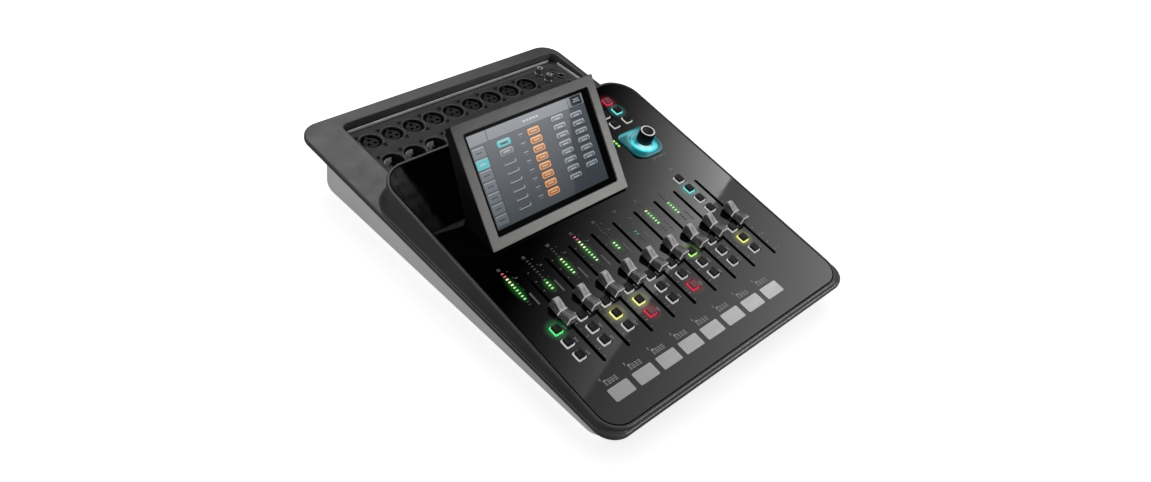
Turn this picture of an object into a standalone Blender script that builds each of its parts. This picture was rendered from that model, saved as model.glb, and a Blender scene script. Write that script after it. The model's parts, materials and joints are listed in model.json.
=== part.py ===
"""Compact digital mixing desk: nine motor faders, lit keys, a tilted touch screen and a rear socket deck.

The desk stands on z = 0 with its front towards -Y. Everything on the sloping control panel is placed in the
panel's own frame: x to the right, y up the slope, z out of the panel, with the origin at the front end of
the first fader slot. Each moving piece is parented to an empty on the line that it moves along or about.
"""
import math

import bmesh
import bpy
from mathutils import Matrix, Vector

# Driving dimensions (metres)
PITCH = 0.030                                  # fader to fader
CHANNELS = 8
FADER_TRAVEL = 0.100
PANEL_TILT = math.radians(9.0)
PANEL_ORIGIN = Vector((-4.1 * PITCH, -0.170, 0.046))
GAP = 0.0003                                   # between neighbouring pieces
CUT_OVERRUN = 0.002                            # cutters reach this far past the faces they cut
SMALLEST_RADIUS = 0.0004
ROUND_SIDES = 16
ROOT = 0.001                                   # how far a joined-on form reaches into its parent

# Control panel, in the panel frame
PANEL_X = (-1.44 * PITCH, 9.53 * PITCH)
PANEL_Y = (-1.84 * PITCH, 9.10 * PITCH)
PANEL_RADII = (0.021, 0.027)                   # front and rear corners
PANEL_THICK = 0.003
PANEL_SUPPORT = 0.0050                         # ledge of the shell under the panel's edge
STEM_LENGTH = 0.0070                           # of a fader's stem, along its slot
STEM_CLEARANCE = 0.00365                       # left at each end of the slot
SLOT_LENGTH = FADER_TRAVEL + STEM_LENGTH + 2 * STEM_CLEARANCE
SLOT_WIDTH = 0.0030
MASTER_X = 8.14 * PITCH

# Fader caps: length, then (share of the length, width at the foot, width at the top, height)
CAP_REST_Y = SLOT_LENGTH / 2                   # faders rest at half travel
CAP_LENGTH = 0.0264
CAP_FOOT = 0.0018                              # over the panel
CAP_ROUNDING = 0.0012
CAP_FOOT_INSET = 0.0003                        # of the upright foot, from the cap's full width
CAP_SHOULDER = (0.0007, 0.0008)                # shoulder stands out, crown stands in from the top's width
CAP_STATIONS = ((-0.50, 0.0100, 0.0084, 0.0084), (-0.44, 0.0112, 0.0092, 0.0104),
                (-0.15, 0.0116, 0.0084, 0.0086), (0.00, 0.0118, 0.0088, 0.0072), (0.15, 0.0116, 0.0082, 0.0086),
                (0.44, 0.0110, 0.0074, 0.0108), (0.50, 0.0096, 0.0066, 0.0088))
STEM_WIDTH = 0.0016
STEM_BOTTOM = -0.0095

# Keys
KEY_SIZE = 0.0100
KEY_TOP_SIZE = 0.0074
KEY_SKIRT_HEIGHT = 0.0006
KEY_CLEARANCE = 0.0004                         # around a key in its hole
KEY_HEIGHT = 0.0030
KEY_TOP_TAPER = 0.0004
KEY_DEPTH = 0.0064                             # below the panel face
KEY_TRAVEL = 0.0010
KEY_OFFSET_X = -0.517 * PITCH                  # left of its slot
KEY_FIRST_Y = 0.545 * PITCH
KEY_STEP_Y = 0.511 * PITCH
CHANNEL_KEYS = 3
MASTER_KEY_ROWS = (7, 6, 5, 4, 2, 1, 0)        # rows are KEY_STEP_Y apart
NAV_KEYS = ((8.10, 8.33), (8.10, 7.80), (8.10, 7.27), (7.46, 7.80), (7.46, 7.27))   # in pitches

# Encoder, in the panel frame
ENCODER = Vector((7.78 * PITCH, 6.10 * PITCH, 0.0))
KNOB_RADIUS = 0.0088
KNOB_BOTTOM = 0.0026
KNOB_HEIGHT = 0.0145
SHAFT_RADIUS = 0.0030
SHAFT_Z = (-0.0105, 0.0123)
LENS_CENTRE = Vector((7.71 * PITCH, 6.10 * PITCH, 0.0))
LENS_SIZE = (0.0430, 0.0400)
LENS_RADII = (0.014, 0.008)
LENS_THICK = 0.0012
SHAFT_CLEARANCE = 0.0010
SHAFT_BEVEL = 0.0005
KNOB_FOOT_BEVEL = (0.0006, 0.0010)             # in, up
KNOB_SIDES = 20
KNOB_TOP_RING = (0.0012, 0.0026)               # flat ring, from the knob's radius inwards
KNOB_DRAFT = 0.0002
KNOB_ROOF_GAP = 0.0004                         # over the end of the shaft
KNOB_DISH = (0.0006, 0.0008)                   # in, down, inside the ring

# Screen pod, in the panel frame
SCREEN_TILT = math.radians(42.0)
SCREEN_LEFT_X = -0.34 * PITCH
SCREEN_FRONT_Y = 4.69 * PITCH
SCREEN_W = 0.1773
SCREEN_H = 0.1191
BEZEL_BORDER = 0.0105
BEZEL_THICK = 0.0030
BEZEL_RISE = BEZEL_THICK * math.cos(SCREEN_TILT)   # front edge of the tilted bezel over the panel
POD_FOOT = 0.0440                              # depth of the pod along the panel
POD_TOP_THICK = 0.0070
POD_INSET = 0.0008                             # of the pod behind the bezel's edge
GLASS_SINK = 0.0012                            # of the glass below the bezel's face
BEZEL_RADIUS = 0.003
OPENING_RADIUS = 0.002
POD_ROOM_BORDER = BEZEL_BORDER + 0.002
POD_ROOM_DEPTH = 0.0046                        # behind the bezel, for the display module
MODULE_THICK = 0.0040
MODULE_INSET = 0.0025                          # of the module behind the pane
PANE_BACK = 0.0006                             # over the bezel's back
POD_TOE_HEIGHT = 0.004
POD_BEVEL = 0.001

# Upper shell, world frame
SHELL_X = 0.1750                               # half width at SHELL_WAIST_Y
SHELL_WAIST_Y = 0.100
SHELL_FLARE = 0.04                             # share of the width gained per metre towards the rear
SHELL_FRONT = -0.2298
SHELL_REAR = 0.2298
SHELL_RADII = (0.021, 0.023)
EDGE_SLOPE = 0.07                              # the flange climbs towards the rear
EDGE_TOP_AT_REAR = 0.0648
EDGE_THICK = 0.0058
EDGE_ROUNDING = 0.0018
HILL_REAR = 0.108                              # top of the hill's rear wall
HILL_FILLET = 0.009                            # from the wall out onto the deck
HILL_FOOT_RADIUS = 0.040
FILLET_STEPS = ((0.0, 0.0), (0.50, 0.05), (0.85, 0.20), (1.0, 0.45))   # share across, share up
RIM = 0.0036                                   # shell rim around the control panel
RIM_DROP = 0.0014
SHELL_WALL = 0.0030
LIP_REAR_INSET = 0.002                         # of that lip from the hill's inner wall
EDGE_LEDGE = (0.0085, 0.0095)                  # flange solid at the front and at the rear
LIP_X = 0.1565                                 # half width inside the flange's lower lip
HOLLOW_X = 0.1660                              # half width of the hollow above that lip
INNER_RADII = (0.020, 0.026)
DECK_UNDERSIDE_RADII = (0.010, 0.028)

# Rear deck, world frame
POCKET_X = (-0.1325, 0.1675)
POCKET_Y = (0.1185, 0.2135)
POCKET_RADIUS = 0.008
DECK_Z = 0.0530                                # top of the connector panel
DECK_THICK = 0.0020
SKIRT_WALL = 0.0025
WINDOW_CLEARANCE = 0.0005
SKIRT_DEPTH = 0.0020                           # below the connector panel
PANEL_LEDGE = 0.0020                           # step that the connector panel rests on
LIP_HEIGHT = 0.0026
LIP_THICK = 0.0014
LIP_INSET = (0.0022, 0.0008)                   # from the pocket's rear and right walls
REAR_LIP_ENDS = (0.006, 0.008)                 # from the pocket's left and right walls
RIGHT_LIP_ENDS = (0.034, 0.012)                # from the pocket's front and rear walls
POCKET_CLEARANCE = 0.015                       # cutter over the deck
SOCKET_PITCH = 0.0270
SOCKET_FIRST_X = -0.1138
SOCKET_RADIUS = 0.0118
SOCKET_SIDES = 14
SMALL_SIDES = 10
PIN_SIDES = 5
SOCKET_TOP = DECK_Z - 0.0004
SOCKET_BOARD_TOP = 0.0370
BOARD_THICK = 0.0020
INPUT_BOARD_RIGHT = 0.1180
INSERT_DROP = 0.0012                           # of a female socket's insert below its rim
PIN_DROP = 0.0035                              # of a male socket's pins
INPUT_Y = 0.1860
OUTPUT_Y = 0.1470
INPUTS = 9
OUTPUTS = 8
PHONO_SOCKETS = ((0.1325, 0.1965), (0.1330, 0.1805))
PHONO_RADIUS = 0.0046
PHONO_BORE = 0.0018
PHONO_HEIGHT = 0.0080
JACK_SOCKETS = (((0.1515, 0.1790), 0.0050), ((0.1490, 0.1925), 0.0032), ((0.1510, 0.1630), 0.0050))
JACK_RISE = 0.0012
JACK_BORE = 0.62                               # share of the jack's radius
JACK_DEPTH = 0.0080

# Lower body, world frame
BASE_X = 0.1600
BASE_FRONT = -0.2110
BASE_REAR = 0.2250
BASE_RADII = (0.018, 0.040)
BASE_BOTTOM = 0.0040
WALL = 0.0025
FOOT_RADIUS = 0.0090
FOOT_BEVEL = 0.001
FEET = ((-0.135, -0.180), (0.135, -0.180), (-0.125, 0.185), (0.125, 0.185))

# Power inlet and switch, world frame
INLET_X = (-0.0700, -0.0420)
SWITCH_X = (-0.0360, -0.0240)
INLET_Z = (0.0110, 0.0330)
ROCKER_TILT = math.radians(7.0)
ROCKER_SINK = 0.0035                           # of its pivot inside the rear wall
MODULE_RISE = 0.0012                           # of the inlet and switch frames outside the rear wall
MODULE_OVERLAP = 0.010                         # of those frames into the supply box
INLET_RECESS = (0.003, 0.014)                  # side wall, depth
SWITCH_RECESS = (0.001, 0.009)
RECESS_EDGE = 0.0025                           # upper and lower wall of both

# Inside
SUPPLY_BOX = ((-0.110, -0.010), (0.130, 0.200), (0.0072, 0.0320))
MAIN_BOARD_TOP = -0.0122                       # in the panel frame
FADER_BODY_TOP = -0.0042
FADER_BODY_WIDTH = 0.0110
FADER_BODY_OVERHANG = 0.014                    # longer than the slot
BOARD_MARGIN = 0.014                           # inside the panel's edge
BOARD_FRONT_MARGIN = 0.026
SWITCH_SIZE = 0.006
ENCODER_BODY_SIZE = 0.014
STEM_GROOVE = (0.0040, 0.004, 0.0010)          # width, overhang, height of its floor over the board
SHAFT_GROOVE_FLOOR = 0.0005                    # over the board

COLORS = {
    "shell": ((0.030, 0.028, 0.030), 0.42, 0.0),
    "base": ((0.290, 0.280, 0.290), 0.45, 0.0),
    "panel": ((0.050, 0.049, 0.052), 0.12, 0.0),
    "deck": ((0.040, 0.039, 0.041), 0.40, 0.2),
    "socket": ((0.012, 0.012, 0.012), 0.45, 0.0),
    "pod": ((0.008, 0.008, 0.008), 0.30, 0.0),
    "bezel": ((0.210, 0.205, 0.190), 0.35, 0.7),
    "glass": ((0.060, 0.080, 0.100), 0.08, 0.0),
    "lens": ((0.020, 0.520, 0.580), 0.20, 0.0),
    "board": ((0.010, 0.110, 0.040), 0.50, 0.0),
    "steel": ((0.500, 0.500, 0.510), 0.35, 1.0),
    "cap": ((0.300, 0.300, 0.310), 0.35, 0.3),
    "key": ((0.020, 0.020, 0.020), 0.40, 0.0),
    "knob": ((0.010, 0.010, 0.010), 0.35, 0.0),
}


# ---------------------------------------------------------------- helpers

def clear_scene():
    for obj in list(bpy.data.objects):
        bpy.data.objects.remove(obj, do_unlink=True)


def material(slot):
    found = bpy.data.materials.get(slot)
    if found:
        return found
    color, roughness, metallic = COLORS[slot]
    made = bpy.data.materials.new(slot)
    made.use_nodes = True
    shader = made.node_tree.nodes["Principled BSDF"]
    shader.inputs["Base Color"].default_value = (*color, 1.0)
    shader.inputs["Roughness"].default_value = roughness
    shader.inputs["Metallic"].default_value = metallic
    return made


def empty(name, location, rotation=(0, 0, 0), parent=None):
    made = bpy.data.objects.new(name, None)
    made.location = location
    made.rotation_euler = rotation
    made.parent = parent
    bpy.context.scene.collection.objects.link(made)
    return made


def add_object(name, bm, slot, parent=None, smooth=False):
    bmesh.ops.recalc_face_normals(bm, faces=bm.faces)
    mesh = bpy.data.meshes.new(name)
    bm.to_mesh(mesh)
    bm.free()
    if smooth:
        mesh.shade_smooth()
        mesh.set_sharp_from_angle(angle=math.radians(35))
    obj = bpy.data.objects.new(name, mesh)
    obj.parent = parent
    if slot:
        mesh.materials.append(material(slot))
    bpy.context.scene.collection.objects.link(obj)
    return obj


def add_cutter(name, bm, parent=None):
    cutter = add_object(name, bm, None, parent)
    cutter.hide_render = True
    cutter.display_type = "WIRE"
    return cutter


def boolean(obj, tool, operation):
    step = obj.modifiers.new(operation.lower() + "_" + tool.name, "BOOLEAN")
    step.operation = operation
    step.solver = "EXACT"
    step.object = tool


def circle(centre, radius, segments, z=0.0):
    turn = 2 * math.pi / segments
    return [Vector((centre[0] + radius * math.cos(turn * (k + 0.5)),
                    centre[1] + radius * math.sin(turn * (k + 0.5)), z)) for k in range(segments)]


def rounded(x, y, radii, segments=6, grow=0.0):
    """Corner-rounded rectangle, anticlockwise from the front right corner. radii = (front, rear)."""
    x0, x1, y0, y1 = x[0] - grow, x[1] + grow, y[0] - grow, y[1] + grow
    front, rear = (max(radius + grow, SMALLEST_RADIUS) for radius in radii)
    corners = ((x1 - front, y0 + front, front, -90), (x1 - rear, y1 - rear, rear, 0),
               (x0 + rear, y1 - rear, rear, 90), (x0 + front, y0 + front, front, 180))
    points = []
    for cx, cy, radius, start in corners:
        for k in range(segments + 1):
            angle = math.radians(start + 90 * k / segments)
            points.append(Vector((cx + radius * math.cos(angle), cy + radius * math.sin(angle), 0.0)))
    return points


def at_height(points, height):
    """The outline lifted to a height, which may be a number or a function of y."""
    lift = height if callable(height) else (lambda y: height)
    return [Vector((p.x, p.y, lift(p.y))) for p in points]


def loft(bm, rings):
    """Skin a stack of equal rings and close both ends."""
    rows = [[bm.verts.new(p) for p in ring] for ring in rings]
    for low, high in zip(rows, rows[1:]):
        for k in range(len(low)):
            following = (k + 1) % len(low)
            bm.faces.new((low[k], low[following], high[following], high[k]))
    bm.faces.new(rows[0])
    bm.faces.new(rows[-1])


def prism(bm, points, low, high):
    loft(bm, (at_height(points, low), at_height(points, high)))


def box(bm, x, y, z):
    prism(bm, [Vector((x[0], y[0], 0)), Vector((x[1], y[0], 0)), Vector((x[1], y[1], 0)),
               Vector((x[0], y[1], 0))], z[0], z[1])


def block(bm, centre, size, z):
    """A box centred on (x, y), size (width, depth), from z[0] to z[1]."""
    half_x, half_y = size[0] / 2, size[1] / 2
    box(bm, (centre[0] - half_x, centre[0] + half_x), (centre[1] - half_y, centre[1] + half_y), z)


def turned(bm, profile, segments, centre=(0.0, 0.0)):
    """Turned body about a vertical axis from (radius, height) points, closed at both ends."""
    loft(bm, [circle(centre, radius, segments, z) for radius, z in profile])


def perforated(name, outline, holes, low, high, slot, parent=None):
    """A flat plate with holes cut straight through it."""
    plate_form = bmesh.new()
    prism(plate_form, outline, low, high)
    plate = add_object(name, plate_form, slot, parent)
    hole_forms = bmesh.new()
    for hole in holes:
        prism(hole_forms, hole, low - CUT_OVERRUN, high + CUT_OVERRUN)
    boolean(plate, add_cutter(name + "_holes", hole_forms, parent), "DIFFERENCE")
    return plate


def square(x, y, size):
    half = size / 2
    return [Vector((x + sx * half, y + sy * half, 0.0)) for sx, sy in ((1, -1), (1, 1), (-1, 1), (-1, -1))]


def slot_outline(x):
    """A fader slot with round ends, from y = 0 to the slot's length."""
    half = SLOT_WIDTH / 2
    return rounded((x - half, x + half), (0.0, SLOT_LENGTH), (half, half), segments=2)


# ---------------------------------------------------------------- layout

def fader_columns():
    return [(f"fader_cap_{i + 1}", i * PITCH) for i in range(CHANNELS)] + [("master_fader_cap", MASTER_X)]


def key_places():
    """Name and panel position of every key."""
    places = []
    for channel in range(CHANNELS):
        for row in range(CHANNEL_KEYS):
            y = KEY_FIRST_Y + (CHANNEL_KEYS - 1 - row) * KEY_STEP_Y
            places.append((f"channel_{channel + 1}_key_{row + 1}", channel * PITCH + KEY_OFFSET_X, y))
    for number, row in enumerate(MASTER_KEY_ROWS):
        y = KEY_FIRST_Y + row * KEY_STEP_Y
        places.append((f"master_key_{number + 1}", MASTER_X + KEY_OFFSET_X, y))
    for number, (x, y) in enumerate(NAV_KEYS):
        places.append((f"nav_key_{number + 1}", x * PITCH, y * PITCH))
    return places


def edge_top(y):
    return EDGE_TOP_AT_REAR + EDGE_SLOPE * (y - SHELL_REAR)


def edge_bottom(y):
    return edge_top(y) - EDGE_THICK


def shell_outline(grow, rear=SHELL_REAR, rear_radius=SHELL_RADII[1]):
    """The shell seen from above: a little wider at the rear."""
    points = rounded((-SHELL_X, SHELL_X), (SHELL_FRONT, rear), (SHELL_RADII[0], rear_radius), 6, grow)
    return [Vector((p.x * (1 + SHELL_FLARE * (p.y - SHELL_WAIST_Y)), p.y, 0.0)) for p in points]


def pocket_tub(grow):
    """Outline of the pocket in the rear deck that holds the connector panel."""
    return rounded(POCKET_X, POCKET_Y, (POCKET_RADIUS, POCKET_RADIUS), 4, grow)


def panel_outline(grow):
    return rounded(PANEL_X, PANEL_Y, PANEL_RADII, 6, grow)


def to_world(points, height):
    """Panel-frame outline at a height over the panel, given in world coordinates."""
    turn = Matrix.Rotation(PANEL_TILT, 3, "X")
    return [PANEL_ORIGIN + turn @ Vector((p.x, p.y, height)) for p in points]


# ---------------------------------------------------------------- shells

def hill_rings():
    """Outlines of the hill under the control panel, from its foot on the flange to its rounded rim."""
    foot = at_height(shell_outline(-EDGE_ROUNDING - GAP, HILL_REAR + HILL_FILLET, HILL_FOOT_RADIUS), edge_top)
    rim = to_world(panel_outline(RIM), -RIM_DROP)
    buried = [p - Vector((0, 0, EDGE_THICK / 2)) for p in foot]
    rings = [buried]
    for across, up in FILLET_STEPS:
        rings.append([Vector((a.x + (b.x - a.x) * across, a.y + (b.y - a.y) * across, a.z + (b.z - a.z) * up))
                      for a, b in zip(foot, rim)])
    return rings + [rim, to_world(panel_outline(RIM - RIM_DROP), 0.0)]


def make_top_shell(panel_frame):
    """Flange, the hill that carries the control panel, and the rear deck, as one moulding."""
    flange = bmesh.new()
    loft(flange, (at_height(shell_outline(-EDGE_ROUNDING), edge_bottom),
                  at_height(shell_outline(0), lambda y: edge_bottom(y) + EDGE_ROUNDING),
                  at_height(shell_outline(0), lambda y: edge_top(y) - EDGE_ROUNDING),
                  at_height(shell_outline(-EDGE_ROUNDING), edge_top)))
    shell = add_object("top_shell", flange, "shell")

    hill = bmesh.new()
    loft(hill, hill_rings())
    boolean(shell, add_cutter("hill_form", hill), "UNION")

    hollow = bmesh.new()
    wall_y = HILL_REAR - SHELL_WALL
    lip = rounded((-LIP_X, LIP_X), (BASE_FRONT + WALL, wall_y - LIP_REAR_INSET), INNER_RADII)
    inner = rounded((-HOLLOW_X, HOLLOW_X), (SHELL_FRONT + EDGE_LEDGE[0], wall_y), INNER_RADII)
    loft(hollow, (at_height(lip, lambda y: edge_bottom(y) - CUT_OVERRUN),
                  at_height(lip, lambda y: edge_bottom(y) + GAP),
                  at_height(inner, lambda y: edge_bottom(y) + EDGE_THICK / 2),
                  to_world(panel_outline(0.0), -PANEL_THICK - SHELL_WALL)))
    boolean(shell, add_cutter("hill_hollow", hollow), "DIFFERENCE")

    under_deck = bmesh.new()
    under_y = (HILL_REAR + SHELL_WALL, SHELL_REAR - EDGE_LEDGE[1])
    pocket = rounded((-LIP_X, LIP_X), under_y, DECK_UNDERSIDE_RADII)
    loft(under_deck, (at_height(pocket, lambda y: edge_bottom(y) - CUT_OVERRUN),
                      at_height(pocket, lambda y: edge_top(y) - SHELL_WALL)))
    boolean(shell, add_cutter("deck_underside", under_deck), "DIFFERENCE")

    skirt = bmesh.new()
    tub = pocket_tub(SKIRT_WALL)
    loft(skirt, (at_height(tub, DECK_Z - DECK_THICK - SKIRT_DEPTH),
                 at_height(tub, lambda y: edge_top(y) - EDGE_ROUNDING)))
    boolean(shell, add_cutter("pocket_skirt", skirt), "UNION")

    opening = bmesh.new()
    full, ledge = pocket_tub(0.0), pocket_tub(-PANEL_LEDGE)
    floor = DECK_Z - DECK_THICK - GAP
    above = EDGE_TOP_AT_REAR + POCKET_CLEARANCE
    loft(opening, (at_height(ledge, floor - SKIRT_DEPTH - CUT_OVERRUN), at_height(ledge, floor),
                   at_height(full, floor), at_height(full, above)))
    boolean(shell, add_cutter("pocket_opening", opening), "DIFFERENCE")

    seat = bmesh.new()
    seat_floor = -PANEL_THICK - GAP
    ledge, full = panel_outline(-PANEL_SUPPORT), panel_outline(GAP)
    loft(seat, (at_height(ledge, seat_floor - 2 * SHELL_WALL), at_height(ledge, seat_floor),
                at_height(full, seat_floor), at_height(full, CUT_OVERRUN)))
    boolean(shell, add_cutter("panel_seat", seat, panel_frame), "DIFFERENCE")


def base_outline(grow):
    return rounded((-BASE_X, BASE_X), (BASE_FRONT, BASE_REAR), BASE_RADII, 6, grow)


def make_base_tray():
    """Lower body: a tray whose wall follows the climbing flange, with four foot bosses."""
    tray_form = bmesh.new()
    top = lambda y: edge_bottom(y) - GAP
    loft(tray_form, (at_height(base_outline(-WALL), BASE_BOTTOM),
                     at_height(base_outline(0), BASE_BOTTOM + WALL),
                     at_height(base_outline(0), top), at_height(base_outline(-WALL), top),
                     at_height(base_outline(-WALL), BASE_BOTTOM + WALL)))
    tray = add_object("base_tray", tray_form, "base")

    bosses = bmesh.new()
    for place in FEET:
        turned(bosses, ((FOOT_RADIUS - FOOT_BEVEL, 0.0), (FOOT_RADIUS, FOOT_BEVEL),
                        (FOOT_RADIUS, BASE_BOTTOM + ROOT)), ROUND_SIDES, place)
    boolean(tray, add_cutter("foot_bosses", bosses), "UNION")

    windows = bmesh.new()
    through = (BASE_REAR - 2 * WALL, BASE_REAR + CUT_OVERRUN)
    for x in (INLET_X, SWITCH_X):
        box(windows, (x[0] - WINDOW_CLEARANCE, x[1] + WINDOW_CLEARANCE), through,
            (INLET_Z[0] - WINDOW_CLEARANCE, INLET_Z[1] + WINDOW_CLEARANCE))
    boolean(tray, add_cutter("inlet_windows", windows), "DIFFERENCE")

    notch = bmesh.new()
    prism(notch, pocket_tub(SKIRT_WALL + WINDOW_CLEARANCE),
          DECK_Z - DECK_THICK - SKIRT_DEPTH - WINDOW_CLEARANCE, EDGE_TOP_AT_REAR)
    boolean(tray, add_cutter("skirt_notch", notch), "DIFFERENCE")


# ---------------------------------------------------------------- panels and sockets

def make_control_panel(panel_frame):
    holes = [slot_outline(x) for _, x in fader_columns()]
    holes += [square(x, y, KEY_SIZE + 2 * KEY_CLEARANCE) for _, x, y in key_places()]
    holes.append(circle(ENCODER, SHAFT_RADIUS + SHAFT_CLEARANCE, ROUND_SIDES))
    perforated("control_panel", panel_outline(0), holes, -PANEL_THICK, 0.0, "panel", panel_frame)


def socket_places(count, y):
    return [(SOCKET_FIRST_X + k * SOCKET_PITCH, y) for k in range(count)]


def make_connector_panel():
    """Folded plate with a round hole for each socket and an upturned lip at the rear and the right."""
    places = socket_places(INPUTS, INPUT_Y) + socket_places(OUTPUTS, OUTPUT_Y)
    holes = [circle(place, SOCKET_RADIUS + GAP, SOCKET_SIDES) for place in places]
    holes += [circle(place, PHONO_RADIUS + GAP, SMALL_SIDES) for place in PHONO_SOCKETS]
    holes += [circle(place, radius + GAP, SMALL_SIDES) for place, radius in JACK_SOCKETS]
    plate = perforated("connector_panel", pocket_tub(-GAP), holes, DECK_Z - DECK_THICK, DECK_Z, "deck")
    lips = bmesh.new()
    z = (DECK_Z - DECK_THICK / 2, DECK_Z + LIP_HEIGHT)
    rear_y, right_x = POCKET_Y[1] - LIP_INSET[0], POCKET_X[1] - LIP_INSET[1]
    box(lips, (POCKET_X[0] + REAR_LIP_ENDS[0], POCKET_X[1] - REAR_LIP_ENDS[1]),
        (rear_y - LIP_THICK, rear_y), z)
    box(lips, (right_x - LIP_THICK, right_x),
        (POCKET_Y[0] + RIGHT_LIP_ENDS[0], POCKET_Y[1] - RIGHT_LIP_ENDS[1]), z)
    boolean(plate, add_cutter("panel_lips", lips), "UNION")


def make_input_sockets():
    """Nine female three-pin sockets moulded on one board."""
    board_form = bmesh.new()
    half = SOCKET_PITCH / 2
    box(board_form, (SOCKET_FIRST_X - half, INPUT_BOARD_RIGHT), (INPUT_Y - half, INPUT_Y + half),
        (SOCKET_BOARD_TOP - BOARD_THICK, SOCKET_BOARD_TOP))
    bank = add_object("input_sockets", board_form, "socket", smooth=True)
    barrels = bmesh.new()
    groove_out, groove_in, groove_depth = 0.0100, 0.0080, 0.0080
    for place in socket_places(INPUTS, INPUT_Y):
        turned(barrels, ((SOCKET_RADIUS, SOCKET_BOARD_TOP - BOARD_THICK / 2), (SOCKET_RADIUS, SOCKET_TOP),
                         (groove_out, SOCKET_TOP), (groove_out, SOCKET_TOP - groove_depth),
                         (groove_in, SOCKET_TOP - groove_depth), (groove_in, SOCKET_TOP - INSERT_DROP)),
               SOCKET_SIDES, place)
    boolean(bank, add_cutter("input_barrels", barrels), "UNION")


def make_output_sockets():
    """Eight male three-pin sockets, two phono sockets and three small jacks on one board."""
    half = SOCKET_PITCH / 2
    left, right, wing = SOCKET_FIRST_X - half, 0.1545, 0.1186
    front, step, rear = OUTPUT_Y - half, OUTPUT_Y + half - ROOT, 0.1970
    outline = [Vector(p) for p in ((left, front, 0), (right, front, 0), (right, rear, 0), (wing, rear, 0),
                                   (wing, step, 0), (left, step, 0))]
    root = SOCKET_BOARD_TOP - BOARD_THICK / 2
    board_form = bmesh.new()
    prism(board_form, outline, SOCKET_BOARD_TOP - BOARD_THICK, SOCKET_BOARD_TOP)
    bank = add_object("output_sockets", board_form, "socket", smooth=True)

    barrels = bmesh.new()
    cup_radius, cup_depth, cup_bevel = 0.0096, 0.0135, 0.0010
    for place in socket_places(OUTPUTS, OUTPUT_Y):
        turned(barrels, ((SOCKET_RADIUS, root), (SOCKET_RADIUS, SOCKET_TOP),
                         (cup_radius + cup_bevel, SOCKET_TOP), (cup_radius, SOCKET_TOP - cup_bevel),
                         (cup_radius, SOCKET_TOP - cup_depth)),
               SOCKET_SIDES, place)
    for place in PHONO_SOCKETS:
        tip = DECK_Z + PHONO_HEIGHT
        turned(barrels, ((PHONO_RADIUS, root), (PHONO_RADIUS, tip - 0.0005), (PHONO_RADIUS - 0.0008, tip),
                         (PHONO_BORE, tip), (PHONO_BORE, DECK_Z)), SMALL_SIDES, place)
    for place, radius in JACK_SOCKETS:
        tip = DECK_Z + JACK_RISE
        bore = radius * JACK_BORE
        turned(barrels, ((radius, root), (radius, tip), (bore, tip), (bore, DECK_Z - JACK_DEPTH)),
               SMALL_SIDES, place)
    boolean(bank, add_cutter("output_barrels", barrels), "UNION")

    pins = bmesh.new()
    pin_circle, pin_radius = 0.0042, 0.0012
    for x, y in socket_places(OUTPUTS, OUTPUT_Y):
        for angle in (math.radians(90), math.radians(210), math.radians(330)):
            place = (x + pin_circle * math.cos(angle), y + pin_circle * math.sin(angle))
            turned(pins, ((pin_radius, SOCKET_TOP - cup_depth - ROOT), (pin_radius, SOCKET_TOP - PIN_DROP)),
                   PIN_SIDES, place)
    boolean(bank, add_cutter("output_pins", pins), "UNION")


# ---------------------------------------------------------------- inside

def make_main_board(panel_frame):
    """Circuit board with the nine fader bodies and a switch under every key."""
    top = MAIN_BOARD_TOP
    root = top - BOARD_THICK / 2
    board_form = bmesh.new()
    box(board_form, (PANEL_X[0] + BOARD_MARGIN, PANEL_X[1] - BOARD_MARGIN),
        (PANEL_Y[0] + BOARD_FRONT_MARGIN, PANEL_Y[1] - BOARD_MARGIN), (top - BOARD_THICK, top))
    board = add_object("main_board", board_form, "board", panel_frame)

    parts = bmesh.new()
    middle = SLOT_LENGTH / 2
    for _, x in fader_columns():
        block(parts, (x, middle), (FADER_BODY_WIDTH, SLOT_LENGTH + FADER_BODY_OVERHANG),
              (root, FADER_BODY_TOP))
    for _, x, y in key_places():
        block(parts, (x, y), (SWITCH_SIZE, SWITCH_SIZE), (root, -KEY_DEPTH - KEY_TRAVEL - GAP))
    block(parts, ENCODER, (ENCODER_BODY_SIZE, ENCODER_BODY_SIZE), (root, -KEY_DEPTH + GAP))
    boolean(board, add_cutter("board_parts", parts, panel_frame), "UNION")

    grooves = bmesh.new()
    groove_width, overhang, groove_floor = STEM_GROOVE
    for _, x in fader_columns():
        block(grooves, (x, middle), (groove_width, SLOT_LENGTH + overhang), (top + groove_floor, 0.0))
    sleeve = SHAFT_RADIUS + 2 * GAP
    turned(grooves, ((sleeve, top + SHAFT_GROOVE_FLOOR), (sleeve, 0.0)), ROUND_SIDES, ENCODER)
    boolean(board, add_cutter("board_grooves", grooves, panel_frame), "DIFFERENCE")


def make_power_supply():
    """Mains supply box with the inlet and the switch frame that look out of the rear wall."""
    supply_form = bmesh.new()
    box(supply_form, *SUPPLY_BOX)
    supply = add_object("power_supply", supply_form, "steel")

    fronts = bmesh.new()
    face_y = BASE_REAR + MODULE_RISE
    for x in (INLET_X, SWITCH_X):
        box(fronts, x, (SUPPLY_BOX[1][1] - MODULE_OVERLAP, face_y), INLET_Z)
    boolean(supply, add_cutter("rear_modules", fronts), "UNION")

    recesses = bmesh.new()
    for x, (side, depth) in ((INLET_X, INLET_RECESS), (SWITCH_X, SWITCH_RECESS)):
        box(recesses, (x[0] + side, x[1] - side), (BASE_REAR - depth, face_y + CUT_OVERRUN),
            (INLET_Z[0] + RECESS_EDGE, INLET_Z[1] - RECESS_EDGE))
    boolean(supply, add_cutter("module_recesses", recesses), "DIFFERENCE")


# ---------------------------------------------------------------- screen

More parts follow.
